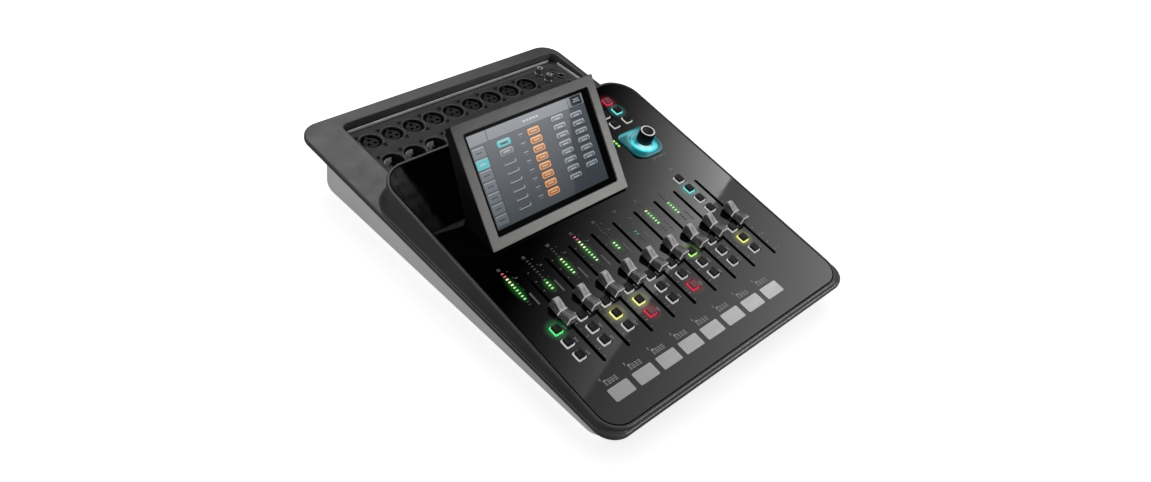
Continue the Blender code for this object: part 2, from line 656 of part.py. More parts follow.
def make_screen(panel_frame):
    """Pod, bezel and glass. The screen frame has x along the bezel, y up the glass and z out of it."""
    frame = empty("screen_frame", (SCREEN_LEFT_X, SCREEN_FRONT_Y, BEZEL_RISE + GAP), (SCREEN_TILT, 0, 0),
                  panel_frame)
    side = pod_side()
    left, right = POD_INSET, SCREEN_W - POD_INSET
    pod_form = bmesh.new()
    loft(pod_form, ([Vector((left, y, z)) for y, z in side], [Vector((right, y, z)) for y, z in side]))
    pod = add_object("screen_housing", pod_form, "pod", frame)
    room = bmesh.new()
    border = POD_ROOM_BORDER
    box(room, (border, SCREEN_W - border), (border, SCREEN_H - border), (-BEZEL_THICK - POD_ROOM_DEPTH, ROOT))
    boolean(pod, add_cutter("module_room", room, frame), "DIFFERENCE")

    def opening(grow):
        border_x = (BEZEL_BORDER, SCREEN_W - BEZEL_BORDER)
        border_y = (BEZEL_BORDER, SCREEN_H - BEZEL_BORDER)
        return rounded(border_x, border_y, (OPENING_RADIUS, OPENING_RADIUS), 2, grow)

    rim = rounded((0, SCREEN_W), (0, SCREEN_H), (BEZEL_RADIUS, BEZEL_RADIUS), 3)
    perforated("screen_bezel", rim, [opening(0)], -BEZEL_THICK, 0.0, "bezel", frame)

    glass_form = bmesh.new()
    pane_back = -BEZEL_THICK + PANE_BACK
    module = opening(-MODULE_INSET)
    loft(glass_form, (at_height(module, -BEZEL_THICK - MODULE_THICK), at_height(module, pane_back),
                      at_height(opening(-GAP), pane_back), at_height(opening(-GAP), -GLASS_SINK)))
    add_object("touch_screen", glass_form, "glass", frame)


def pod_side():
    """Side outline of the pod behind the bezel, in the screen frame: a wedge that rests on the panel."""
    def over_panel(distance, height):
        height -= BEZEL_RISE
        return (distance * math.cos(SCREEN_TILT) + height * math.sin(SCREEN_TILT),
                -distance * math.sin(SCREEN_TILT) + height * math.cos(SCREEN_TILT))
    front = -BEZEL_THICK - GAP
    toe = (-BEZEL_RISE - front * math.cos(SCREEN_TILT)) / math.sin(SCREEN_TILT)
    top = SCREEN_H - POD_INSET
    back = front - POD_TOP_THICK
    return [(toe, front), (top, front), (top, back + POD_BEVEL), (top - POD_BEVEL, back),
            over_panel(POD_FOOT, POD_TOE_HEIGHT), over_panel(POD_FOOT, 0.0)]


# ---------------------------------------------------------------- moving pieces

def make_fader_cap(name, x, panel_frame):
    """Saddle-topped cap with a stem that reaches through the slot. Its origin is on the panel at the slot."""
    travel_axis = empty(name + "_axis", (x, CAP_REST_Y, 0.0), (0, 0, 0), panel_frame)
    rings = []
    for share, wide, narrow, height in CAP_STATIONS:
        y = share * CAP_LENGTH
        half, top, shoulder = wide / 2, narrow / 2, height - CAP_ROUNDING
        right = ((half, CAP_FOOT), (half - CAP_FOOT_INSET, CAP_FOOT + CAP_ROUNDING),
                 (top + CAP_SHOULDER[0], shoulder), (top - CAP_SHOULDER[1], height))
        rings.append([Vector((side_x, y, z)) for side_x, z in right]
                     + [Vector((-side_x, y, z)) for side_x, z in reversed(right)])
    cap_form = bmesh.new()
    loft(cap_form, rings)
    cap = add_object(name, cap_form, "cap", travel_axis, smooth=True)
    stem = bmesh.new()
    block(stem, (0, 0), (STEM_WIDTH, STEM_LENGTH), (STEM_BOTTOM, CAP_FOOT + ROOT))
    boolean(cap, add_cutter(name + "_stem", stem, travel_axis), "UNION")


def key_mesh():
    """Square key: a translucent skirt level with the panel and a raised black top. Shared by all keys."""
    bm = bmesh.new()
    rings = ((KEY_SIZE, -KEY_DEPTH), (KEY_SIZE, KEY_SKIRT_HEIGHT), (KEY_TOP_SIZE, KEY_SKIRT_HEIGHT),
             (KEY_TOP_SIZE - KEY_TOP_TAPER, KEY_HEIGHT))
    loft(bm, [at_height(square(0, 0, size), z) for size, z in rings])
    bmesh.ops.recalc_face_normals(bm, faces=bm.faces)
    mesh = bpy.data.meshes.new("key")
    bm.to_mesh(mesh)
    bm.free()
    mesh.materials.append(material("key"))
    return mesh


def make_keys(panel_frame):
    mesh = key_mesh()
    for name, x, y in key_places():
        key = bpy.data.objects.new(name, mesh)
        key.location = (x, y, 0.0)
        key.parent = panel_frame
        bpy.context.scene.collection.objects.link(key)


def make_encoder(panel_frame):
    """Push shaft, the knob that turns on it, and the lit lens plate around it."""
    axis = empty("encoder_axis", ENCODER, (0, 0, 0), panel_frame)
    shaft_form = bmesh.new()
    turned(shaft_form, ((SHAFT_RADIUS, SHAFT_Z[0]), (SHAFT_RADIUS, SHAFT_Z[1] - SHAFT_BEVEL),
                        (SHAFT_RADIUS - SHAFT_BEVEL, SHAFT_Z[1])), ROUND_SIDES)
    add_object("encoder_shaft", shaft_form, "steel", axis, smooth=True)

    knob_form = bmesh.new()
    bore = SHAFT_RADIUS + GAP
    top = KNOB_BOTTOM + KNOB_HEIGHT
    foot_in, foot_up = KNOB_FOOT_BEVEL
    ring_out, ring_in = KNOB_RADIUS - KNOB_TOP_RING[0], KNOB_RADIUS - KNOB_TOP_RING[1]
    turned(knob_form, ((bore, SHAFT_Z[1] + KNOB_ROOF_GAP), (bore, KNOB_BOTTOM),
                       (KNOB_RADIUS - foot_in, KNOB_BOTTOM), (KNOB_RADIUS, KNOB_BOTTOM + foot_up),
                       (KNOB_RADIUS - KNOB_DRAFT, top - KNOB_TOP_RING[0]), (ring_out, top), (ring_in, top),
                       (ring_in - KNOB_DISH[0], top - KNOB_DISH[1])), KNOB_SIDES)
    add_object("encoder_knob", knob_form, "knob", axis, smooth=True)

    x = (LENS_CENTRE.x - LENS_SIZE[0] / 2, LENS_CENTRE.x + LENS_SIZE[0] / 2)
    y = (LENS_CENTRE.y - LENS_SIZE[1] / 2, LENS_CENTRE.y + LENS_SIZE[1] / 2)
    hole = circle(ENCODER, SHAFT_RADIUS + SHAFT_CLEARANCE, ROUND_SIDES)
    perforated("encoder_lens", rounded(x, y, LENS_RADII, 5), [hole], GAP, GAP + LENS_THICK, "lens",
               panel_frame)


def make_power_rocker():
    """Two-way rocker on a level pivot in the switch frame, resting with its lower half pressed in."""
    centre = (sum(SWITCH_X) / 2, BASE_REAR - ROCKER_SINK, sum(INLET_Z) / 2)
    pivot = empty("rocker_axis", centre, (ROCKER_TILT, 0, 0))
    half_x, half_z = 0.0046, 0.0076
    back, face, bow = -0.0020, 0.0040, 0.0010
    side = ((back, -half_z), (face + bow, -half_z), (face, 0.0), (face + bow, half_z), (back, half_z))
    rocker_form = bmesh.new()
    loft(rocker_form, ([Vector((-half_x, y, z)) for y, z in side], [Vector((half_x, y, z)) for y, z in side]))
    add_object("power_rocker", rocker_form, "knob", pivot)


# ---------------------------------------------------------------- assembly

def main():
    clear_scene()
    panel_frame = empty("panel_frame", PANEL_ORIGIN, (PANEL_TILT, 0, 0))
    make_base_tray()
    make_top_shell(panel_frame)
    make_control_panel(panel_frame)
    make_connector_panel()
    make_input_sockets()
    make_output_sockets()
    make_main_board(panel_frame)
    make_power_supply()
    make_screen(panel_frame)
    for name, x in fader_columns():
        make_fader_cap(name, x, panel_frame)
    make_keys(panel_frame)
    make_encoder(panel_frame)
    make_power_rocker()


main()
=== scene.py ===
import json
import math
import random

import bmesh
import bpy
from mathutils import Matrix, Vector
from mathutils.geometry import tessellate_polygon


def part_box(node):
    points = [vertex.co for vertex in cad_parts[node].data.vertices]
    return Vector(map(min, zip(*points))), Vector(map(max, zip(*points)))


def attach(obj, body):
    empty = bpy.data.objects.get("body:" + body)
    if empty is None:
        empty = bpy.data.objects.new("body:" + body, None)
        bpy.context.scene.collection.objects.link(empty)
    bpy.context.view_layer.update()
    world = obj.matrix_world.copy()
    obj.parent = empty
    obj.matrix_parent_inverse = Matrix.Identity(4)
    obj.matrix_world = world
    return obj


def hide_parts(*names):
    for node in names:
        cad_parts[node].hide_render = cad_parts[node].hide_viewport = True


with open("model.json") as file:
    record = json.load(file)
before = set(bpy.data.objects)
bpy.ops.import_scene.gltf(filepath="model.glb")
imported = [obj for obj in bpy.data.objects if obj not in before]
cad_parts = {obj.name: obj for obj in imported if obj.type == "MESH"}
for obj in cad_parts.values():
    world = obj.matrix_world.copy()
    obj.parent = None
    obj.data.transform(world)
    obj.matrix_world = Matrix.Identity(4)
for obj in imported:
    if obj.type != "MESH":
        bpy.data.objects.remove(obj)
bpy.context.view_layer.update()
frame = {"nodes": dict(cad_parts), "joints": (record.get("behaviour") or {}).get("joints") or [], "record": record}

JOINTS = {joint["name"]: joint for joint in frame["joints"]}
GAP = 0.0003


def centre(node):
    low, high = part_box(node)
    return (low + high) / 2


# ---------------------------------------------------------------- the frame's own axes and sizes

PITCH = centre("fader_cap_2").x - centre("fader_cap_1").x
CHANNELS = 8
SLOT_LENGTH = 3.81 * PITCH
PANEL_LOW, PANEL_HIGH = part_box("control_panel")
RIGHT = Vector((1.0, 0.0, 0.0))
UP = Vector(JOINTS["fader_1_slide"]["axis"]).normalized()
OUT = RIGHT.cross(UP)
PIVOT = Vector(JOINTS["encoder_turn"]["pos_m"])
FRONT_MARGIN = 1.84 * PITCH                    # panel's front edge to the front ends of the slots
FRONT_EDGE = PIVOT + UP * ((PANEL_LOW.y - PIVOT.y) / UP.y)
ORIGIN = Vector((centre("fader_cap_1").x, FRONT_EDGE.y, FRONT_EDGE.z)) + UP * FRONT_MARGIN
PANEL = Matrix.Translation(ORIGIN) @ Matrix((RIGHT, UP, OUT)).transposed().to_4x4()
PANEL_X = (PANEL_LOW.x - ORIGIN.x, PANEL_HIGH.x - ORIGIN.x)
PANEL_Y = (-FRONT_MARGIN, (PANEL_HIGH.z - ORIGIN.z) / UP.z)
PANEL_THICK = 0.003
PANEL_RADII = (0.021, 0.027)
PANEL_TILT = math.atan2(UP.z, UP.y)

BEZEL_LOW, BEZEL_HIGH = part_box("screen_bezel")
SCREEN_TILT = PANEL_TILT + math.radians(42.0)
BEZEL_THICK = 0.003
SCREEN_CORNER = Vector((BEZEL_LOW.x, BEZEL_LOW.y, BEZEL_LOW.z + BEZEL_THICK * math.cos(SCREEN_TILT)))
SCREEN = Matrix.Translation(SCREEN_CORNER) @ Matrix.Rotation(SCREEN_TILT, 4, "X")
SCREEN_W = BEZEL_HIGH.x - BEZEL_LOW.x
SCREEN_H = (BEZEL_HIGH.z - SCREEN_CORNER.z) / math.sin(SCREEN_TILT)
BEZEL_BORDER = 0.0105

SHELL_LOW, SHELL_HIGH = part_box("top_shell")
SHELL_X = 0.1750
SHELL_WAIST_Y = 0.100
SHELL_FLARE = 0.04
SHELL_RADII = (0.021, 0.023)
EDGE_SLOPE = 0.07
EDGE_TOP_AT_REAR = 0.0648
EDGE_THICK = 0.0058
EDGE_ROUNDING = 0.0018
HILL_REAR = 0.108
HILL_FILLET = 0.009
HILL_FOOT_RADIUS = 0.040
RIM = 0.0036
RIM_DROP = 0.0014
POCKET_X = (-0.1325, 0.1675)
POCKET_Y = (0.1185, 0.2135)
POCKET_RADIUS = 0.008
DECK_Z = 0.0530
DECK_THICK = 0.0020
BASE_LOW, BASE_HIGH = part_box("base_tray")
BASE_RADII = (0.018, 0.040)
BASE_BOTTOM = 0.0040
WALL = 0.0025


# ---------------------------------------------------------------- lamps and where they are

KEYS = sorted(node for node in frame["nodes"] if "_key_" in node)
CAPS = sorted(node for node in frame["nodes"] if "fader_cap" in node)
LIT = {"white": (0.42, 0.42, 0.42), "green": (0.10, 0.72, 0.22), "lime": (0.46, 0.80, 0.22),
       "yellow": (0.80, 0.80, 0.26), "red": (0.55, 0.02, 0.06), "cyan": (0.16, 0.66, 0.64)}
KEY_COLORS = {
    "channel_1_key_1": "green", "channel_3_key_2": "yellow", "channel_4_key_2": "yellow",
    "channel_4_key_3": "red", "channel_6_key_3": "red", "channel_7_key_1": "lime", "master_key_6": "yellow",
    "master_key_2": "cyan", "nav_key_1": "red", "nav_key_2": "cyan",
}
METER_REAR, METER_STEP, METER_X = 3.97, 0.118, -0.59          # in pitches; X from its fader's slot
METER_LIT = ("RRYYYGGGGG..", ".......gGGG.", "....YGGGGG..", "RRYYYGGGGG..", ".......GGG..", ".......gg...",
             "...YGGGGG...", "....GGGGG...")                 # one letter for each lamp, from the rear


def on_panel(node):
    return PANEL.inverted() @ centre(node)


# ---------------------------------------------------------------- mesh helpers

def outline(x, y, radii, arc=12, side=1):
    """Function of grow that gives a corner-rounded rectangle, anticlockwise from its front right corner."""
    def points(grow=0.0):
        x0, x1, y0, y1 = x[0] - grow, x[1] + grow, y[0] - grow, y[1] + grow
        front, rear = (max(radius + grow, 0.0001) for radius in radii)
        corners = ((x1 - front, y0 + front, front, -90), (x1 - rear, y1 - rear, rear, 0),
                   (x0 + rear, y1 - rear, rear, 90), (x0 + front, y0 + front, front, 180))
        found = []
        for cx, cy, radius, start in corners:
            for k in range(arc + 1):
                angle = math.radians(start + 90 * k / arc)
                found.append(Vector((cx + radius * math.cos(angle), cy + radius * math.sin(angle))))
        if side == 1:
            return found
        dense = []
        for k, here in enumerate(found):
            dense.append(here)
            if k % (arc + 1) == arc:
                following = found[(k + 1) % len(found)]
                dense += [here.lerp(following, step / side) for step in range(1, side)]
        return dense
    return points


def block_outline(cx, cy, width, depth, radius, arc=4):
    return outline((cx - width / 2, cx + width / 2), (cy - depth / 2, cy + depth / 2), (radius, radius), arc)


def circle_outline(cx, cy, radius, segments=32):
    def points(grow=0.0):
        turn = 2 * math.pi / segments
        return [Vector((cx + (radius + grow) * math.cos(turn * k), cy + (radius + grow) * math.sin(turn * k)))
                for k in range(segments)]
    return points


def plus_outline(cx, cy, reach, half, angle=0.0):
    """A cross, for the recess of a screw."""
    def points(grow=0.0):
        r, h = reach + grow, half + grow
        corners = [(r, -h), (r, h), (h, h), (h, r), (-h, r), (-h, h), (-r, h), (-r, -h), (-h, -h), (-h, -r),
                   (h, -r), (h, -h)]
        turn = Matrix.Rotation(angle, 2)
        return [Vector((cx, cy)) + turn @ Vector(corner) for corner in corners]
    return points


def lift(points, height):
    """Points (x, y) lifted to a height, which may be a number or a function of y."""
    level = height if callable(height) else (lambda y: height)
    return [Vector((p.x, p.y, level(p.y))) for p in points]


def add_ring(bm, points):
    return [bm.verts.new(p) for p in points]


def strip(bm, low, high, material=0):
    faces = []
    for k in range(len(low)):
        following = (k + 1) % len(low)
        face = bm.faces.new((low[k], low[following], high[following], high[k]))
        face.material_index = material
        faces.append(face)
    return faces


def fill(bm, loops, material=0):
    """Fills the flat region between an outer loop of vertices and its holes, with a crease all round it."""
    flat = bm.faces.layers.int.get("flat") or bm.faces.layers.int.new("flat")
    verts = [v for loop in loops for v in loop]
    if len(loops) == 1:
        polygons = [verts]
    else:
        triangles = tessellate_polygon([[v.co for v in loop] for loop in loops])
        polygons = [[verts[k] for k in corners] for corners in triangles if len(set(corners)) == 3]
    for polygon in polygons:
        face = bm.faces.new(polygon)
        face.material_index = material
        face[flat] = 1


def skin(bm, rings, materials=None, cap_first=True, cap_last=True):
    """Skins a stack of rings. materials gives one index for each band between rings."""
    rows = [add_ring(bm, ring) for ring in rings]
    for k, (low, high) in enumerate(zip(rows, rows[1:])):
        strip(bm, low, high, materials[k] if materials else 0)
    if cap_first:
        fill(bm, [rows[0]], materials[0] if materials else 0)
    if cap_last:
        fill(bm, [rows[-1]], materials[-1] if materials else 0)
    return rows


def plate(bm, outer, holes, low, high, rounding, material=0, steps=3, wall=None):
    """A flat plate with holes, whose upper edges are rounded. outer and holes are functions of grow. The
    outer wall under the rounding may have a material of its own."""
    stacks = []
    for sign, edge in [(1, outer)] + [(-1, hole) for hole in holes]:
        rings = []
        for k in range(steps + 1):
            angle = math.pi / 2 * k / steps
            inset = rounding * (1 - math.sin(angle))
            rings.append(lift(edge(-sign * inset), high - rounding * (1 - math.cos(angle))))
        rings.append(lift(edge(0.0), low))
        rows = [add_ring(bm, ring) for ring in rings]
        for upper, lower in zip(rows, rows[1:]):
            outer_wall = wall is not None and sign == 1 and lower is rows[-1]
            strip(bm, upper, lower, wall if outer_wall else material)
        stacks.append(rows)
    fill(bm, [rows[0] for rows in stacks], material)
    fill(bm, [rows[-1] for rows in stacks], material)


def turned(bm, profile, segments=32, centre_at=(0.0, 0.0), materials=None):
    """Body turned about a vertical axis from (radius, height) points. A radius of 0 closes it in a point."""
    rings = [lift(circle_outline(*centre_at, radius, segments)(), z) for radius, z in profile if radius > 0]
    rows = skin(bm, rings, materials, profile[0][0] > 0, profile[-1][0] > 0)
    if profile[0][0] == 0:
        fan(bm, rows[0], (*centre_at, profile[0][1]), materials[0] if materials else 0)
    if profile[-1][0] == 0:
        fan(bm, rows[-1], (*centre_at, profile[-1][1]), materials[-1] if materials else 0)


def fan(bm, ring, tip, material):
    peak = bm.verts.new(tip)
    for k in range(len(ring)):
        bm.faces.new((ring[k], ring[(k + 1) % len(ring)], peak)).material_index = material


def rounded_profile(radius, low, high, rounding, steps=4):
    """Profile of a disc with a rounded upper edge, from its foot to its crown."""
    points = [(radius, low)]
    for k in range(steps + 1):
        angle = math.pi / 2 * k / steps
        points.append((radius - rounding * (1 - math.cos(angle)), high - rounding * (1 - math.sin(angle))))
    return points


def finished_mesh(name, bm, materials, smooth=32):
    """Mesh with outward normals, and creases round its flat faces and where it bends by more than an angle."""
    bmesh.ops.remove_doubles(bm, verts=bm.verts, dist=1e-6)
    bmesh.ops.recalc_face_normals(bm, faces=bm.faces)
    flat = bm.faces.layers.int.get("flat")
    for face in bm.faces:
        face.smooth = True
    for edge in bm.edges:
        sides = {face[flat] for face in edge.link_faces} if flat else {0}
        edge.smooth = len(sides) == 1 and edge.calc_face_angle(0.0) < math.radians(smooth)
    if flat:
        bm.faces.layers.int.remove(flat)
    mesh = bpy.data.meshes.new(name)
    bm.to_mesh(mesh)
    bm.free()
    for material in materials:
        mesh.materials.append(material)
    return mesh


def piece(name, bm, materials, matrix=None, body="desk", smooth=32, replaces=()):
    """Turns the mesh into a visible piece in the frame's axes and lets it ride on a body."""
    mesh = finished_mesh(name, bm, materials, smooth)
    if matrix is not None:
        mesh.transform(matrix)
    return placed(name, mesh, body, replaces)


def placed(name, mesh, body="desk", replaces=(), matrix=None):
    obj = bpy.data.objects.new(name, mesh)
    bpy.context.scene.collection.objects.link(obj)
    if matrix is not None:
        obj.matrix_world = matrix
    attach(obj, body)
    if replaces:
        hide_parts(*replaces)
    return obj


def cut(obj, bm, operation="DIFFERENCE"):
    """Applies a Boolean with a temporary tool."""
    mesh = finished_mesh("tool", bm, obj.data.materials)
    tool = bpy.data.objects.new("tool", mesh)
    bpy.context.scene.collection.objects.link(tool)
    step = obj.modifiers.new("cut", "BOOLEAN")
    step.operation = operation
    step.solver = "EXACT"
    step.object = tool
    graph = bpy.context.evaluated_depsgraph_get()
    result = bpy.data.meshes.new_from_object(obj.evaluated_get(graph))
    obj.modifiers.clear()
    obj.data = result
    bpy.data.objects.remove(tool)


# ---------------------------------------------------------------- materials

class Surface:
    """A node material under construction: a Principled shader and helpers that add detail to it."""

    def __init__(self, name, color, roughness, metallic=0.0, specular=0.5, coat=0.0):
        self.material = bpy.data.materials.new(name)
        self.material.use_nodes = True
        self.material.diffuse_color = (*color, 1.0)
        self.tree = self.material.node_tree
        self.shader = self.tree.nodes["Principled BSDF"]
        self.color = color
        self.set("Base Color", (*color, 1.0))
        self.set("Roughness", roughness)
        self.set("Metallic", metallic)
        self.set("Specular IOR Level", specular)
        self.set("Coat Weight", coat)
        self.set("Coat Roughness", 0.04)
        self.place = self.node("ShaderNodeTexCoord").outputs["Object"]
        self.bump_out = None
        self.spill = None

    def node(self, kind, **values):
        made = self.tree.nodes.new(kind)
        for key, value in values.items():
            setattr(made, key, value)
        return made

    def link(self, source, target):
        self.tree.links.new(source, target)

    def set(self, socket, value):
        self.shader.inputs[socket].default_value = value

    def noise(self, scale, detail=3.0, stretch=(1.0, 1.0, 1.0)):
        mapping = self.node("ShaderNodeMapping")
        mapping.inputs["Scale"].default_value = stretch
        self.link(self.place, mapping.inputs["Vector"])
        made = self.node("ShaderNodeTexNoise")
        made.inputs["Scale"].default_value = scale
        made.inputs["Detail"].default_value = detail
        self.link(mapping.outputs["Vector"], made.inputs["Vector"])
        return made.outputs["Fac"]

    def spread(self, value, low, high, source=(0.3, 0.7)):
        made = self.node("ShaderNodeMapRange")
        made.inputs["From Min"].default_value = source[0]
        made.inputs["From Max"].default_value = source[1]
        made.inputs["To Min"].default_value = low
        made.inputs["To Max"].default_value = high
        self.link(value, made.inputs["Value"])
        return made.outputs["Result"]

    def mixed(self, factor, first, second):
        """Color between two, each a tuple or an output."""
        made = self.node("ShaderNodeMix", data_type="RGBA")
        self.link(factor, made.inputs["Factor"])
        for socket, value in ((made.inputs[6], first), (made.inputs[7], second)):
            if isinstance(value, tuple):
                socket.default_value = (*value, 1.0)
            else:
                self.link(value, socket)
        return made.outputs[2]

    def tone(self, scale, share, detail=3.0):
        """Slow color variation, darker and lighter by a share of the base color."""
        dark = tuple(c * (1 - share) for c in self.color)
        light = tuple(c * (1 + share) for c in self.color)
        value = self.spread(self.noise(scale, detail), 0.0, 1.0)
        self.paint(self.mixed(value, dark, light))
        return self

    def paint(self, output):
        self.link(output, self.shader.inputs["Base Color"])
        self.base = output

    def rough(self, scale, low, high, stretch=(1.0, 1.0, 1.0)):
        self.link(self.spread(self.noise(scale, 4.0, stretch), low, high), self.shader.inputs["Roughness"])
        return self

    def grain(self, scale, depth, detail=2.0, stretch=(1.0, 1.0, 1.0)):
        """Fine relief, depth in metres."""
        made = self.node("ShaderNodeBump")
        made.inputs["Strength"].default_value = 1.0
        made.inputs["Distance"].default_value = depth
        self.link(self.noise(scale, detail, stretch), made.inputs["Height"])
        if self.bump_out:
            self.link(self.bump_out, made.inputs["Normal"])
        self.bump_out = made.outputs["Normal"]
        self.link(self.bump_out, self.shader.inputs["Normal"])
        return self

    def wear(self, color, amount=0.5, low=0.52, high=0.62):
        """Edges rubbed towards another color."""
        pointed = self.node("ShaderNodeNewGeometry").outputs["Pointiness"]
        edge = self.spread(pointed, 0.0, amount, (low, high))
        self.paint(self.mixed(edge, getattr(self, "base", self.color), color))
        return self

    def halo(self, place, reach, color):
        """Painted light that leaks round a lamp, as glow in the panel's own surface: brightest at its place, gone at
        its reach across and along the panel.
        """
        local = self.node("ShaderNodeMapping", vector_type="TEXTURE")
        local.inputs["Location"].default_value = place
        local.inputs["Rotation"].default_value = (PANEL_TILT, 0.0, 0.0)
        local.inputs["Scale"].default_value = (*reach, max(reach))
        self.link(self.place, local.inputs["Vector"])
        length = self.node("ShaderNodeVectorMath", operation="LENGTH")
        self.link(local.outputs["Vector"], length.inputs[0])
        fade = self.node("ShaderNodeMapRange", interpolation_type="SMOOTHSTEP")
        fade.inputs["From Min"].default_value = 1.0
        fade.inputs["From Max"].default_value = 0.35
        self.link(length.outputs["Value"], fade.inputs["Value"])
        tint = self.node("ShaderNodeVectorMath", operation="SCALE")
        tint.inputs[0].default_value = color
        self.link(fade.outputs["Result"], tint.inputs["Scale"])
        total = self.node("ShaderNodeVectorMath", operation="ADD")
        if self.spill:
            self.link(self.spill, total.inputs[0])
        self.link(tint.outputs[0], total.inputs[1])
        self.spill = total.outputs[0]
        self.link(self.spill, self.shader.inputs["Emission Color"])
        self.set("Emission Strength", 1.0)

    def glow(self, color, strength):
        if isinstance(color, tuple):
            self.set("Emission Color", (*color, 1.0))
        else:
            self.link(color, self.shader.inputs["Emission Color"])
        self.set("Emission Strength", strength)
        return self


def shell_plastic():
    surface = Surface("shell_plastic", (0.0205, 0.0195, 0.0212), 0.38, specular=0.42)
    surface.tone(14, 0.25).rough(55, 0.34, 0.46).grain(2600, 0.00002).wear((0.075, 0.072, 0.070), 0.6)
    return surface.material


def base_plastic():
    surface = Surface("base_plastic", (0.375, 0.365, 0.374), 0.48, specular=0.35)
    surface.tone(9, 0.06).rough(40, 0.42, 0.54).grain(2200, 0.000025).wear((0.46, 0.45, 0.455), 0.6)
    return surface.material


def panel_gloss():
    """Dark hard-coated panel under a clear gloss, with faint wiping haze."""
    surface = Surface("panel_gloss", (0.0012, 0.0011, 0.0012), 0.30, specular=0.0, coat=1.0)
    surface.tone(7, 0.15).rough(24, 0.24, 0.34).grain(900, 0.000001)
    haze = surface.spread(surface.noise(90, 6.0, (1.0, 0.3, 1.0)), 0.025, 0.06)
    surface.link(haze, surface.shader.inputs["Coat Roughness"])
    # Painted light: a glow round each lit key and each lit meter column, for the light they spill onto the panel.
    for key, lamp in sorted(KEY_COLORS.items()):
        spot = PANEL @ Vector((*on_panel(key).xy, 0.0))
        surface.halo(spot, (0.0130, 0.0130), tuple(0.15 * c for c in LIT[lamp]))
    for channel, states in enumerate(METER_LIT):
        rows = [row for row, state in enumerate(states) if state in "YG"]
        middle = METER_REAR - METER_STEP * (rows[0] + rows[-1]) / 2 if rows else METER_REAR
        x = on_panel(f"fader_cap_{channel + 1}").x + METER_X * PITCH
        reach = METER_STEP * PITCH * (len(rows) / 2 + 1.6)
        if rows:
            surface.halo(PANEL @ Vector((x, middle * PITCH, 0.0)), (0.0068, reach), (0.006, 0.062, 0.006))
    return surface.material


def deck_metal():
    surface = Surface("deck_metal", (0.030, 0.029, 0.031), 0.42, metallic=0.25, specular=0.5)
    surface.tone(30, 0.2).rough(160, 0.36, 0.50).grain(3000, 0.00002).wear((0.16, 0.155, 0.15), 0.7)
    return surface.material


# Near-white lips: a painted highlight, the light line that their top edges show along the pocket.
def lip_painted_highlight():
    surface = Surface("lip_painted_highlight", (0.78, 0.77, 0.78), 0.34, metallic=0.1)
    surface.tone(60, 0.15).rough(300, 0.28, 0.42, (1.0, 12.0, 12.0)).grain(2500, 0.00001)
    return surface.material


def socket_plastic():
    surface = Surface("socket_plastic", (0.0025, 0.0025, 0.0026), 0.36, specular=0.15)
    surface.tone(120, 0.3).rough(200, 0.24, 0.40).grain(2500, 0.00001).wear((0.03, 0.03, 0.03), 0.5)
    return surface.material


def insert_plastic():
    surface = Surface("insert_plastic", (0.006, 0.0055, 0.006), 0.42, specular=0.25)
    surface.tone(150, 0.25).rough(250, 0.34, 0.50).grain(3000, 0.00002).wear((0.10, 0.095, 0.10), 0.7)
    return surface.material


# Near-black for the floors and bores of holes and recesses, and behind the vent slots: painted shade.
def hole_painted_shade():
    surface = Surface("hole_painted_shade", (0.003, 0.003, 0.003), 0.8, specular=0.1)
    surface.tone(200, 0.3)
    return surface.material


def bright_metal():
    surface = Surface("bright_metal", (0.58, 0.57, 0.56), 0.24, metallic=1.0)
    surface.tone(160, 0.12).rough(220, 0.16, 0.32).grain(1800, 0.00001)
    return surface.material


# Pins darkened from bright metal: painted shade deep inside the male sockets' cups.
def pin_metal():
    surface = Surface("pin_metal", (0.19, 0.175, 0.145), 0.26, metallic=1.0)
    surface.tone(300, 0.15).rough(300, 0.2, 0.34)
    return surface.material


def sleeve_painted_highlight():
    """Light satin ring inside a male socket: a painted highlight, the lit crescent of the cup's inner wall."""
    surface = Surface("sleeve_painted_highlight", (0.80, 0.79, 0.80), 0.32, metallic=0.1)
    surface.tone(200, 0.2).rough(260, 0.24, 0.42, (1.0, 1.0, 8.0)).grain(2400, 0.00001)
    return surface.material


def flange_highlight_and_wear():
    """Painted ring pressed round a socket, lighter than the deck as a painted highlight along its rim, with its edges
    worn brighter still.
    """
    surface = Surface("flange_highlight_and_wear", (0.125, 0.122, 0.125), 0.36, metallic=0.2)
    surface.tone(180, 0.35).rough(260, 0.30, 0.46).grain(2600, 0.00001).wear((0.22, 0.215, 0.21), 0.7)
    return surface.material


def screw_metal():
    surface = Surface("screw_metal", (0.035, 0.034, 0.036), 0.35, metallic=0.9)
    surface.tone(300, 0.3).rough(400, 0.26, 0.44).wear((0.22, 0.21, 0.2), 0.8)
    return surface.material


def pod_plastic():
    surface = Surface("pod_plastic", (0.0045, 0.0045, 0.0047), 0.42, specular=0.12)
    surface.tone(16, 0.25).rough(60, 0.28, 0.42).grain(2400, 0.000015)
    return surface.material


def bezel_metal():
    """Bead-blasted and brushed silver paint, with painted shade that darkens the frame towards its top."""
    surface = Surface("bezel_metal", (0.170, 0.166, 0.160), 0.36, metallic=0.30, specular=0.5)
    axes = surface.node("ShaderNodeSeparateXYZ")
    surface.link(surface.place, axes.inputs["Vector"])
    # Painted shade: the colour runs from light at the foot of the frame to dark at its top.
    up = surface.spread(axes.outputs["Z"], 0.0, 1.0, (BEZEL_LOW.z, BEZEL_HIGH.z))
    painted_light_ramp = surface.mixed(up, (0.215, 0.211, 0.204), (0.062, 0.061, 0.061))
    cloud = surface.spread(surface.noise(18), 0.0, 0.12)
    surface.paint(surface.mixed(cloud, painted_light_ramp, (0.22, 0.216, 0.206)))
    surface.rough(260, 0.30, 0.44, (0.2, 6.0, 6.0)).grain(2800, 0.000012)
    return surface.material


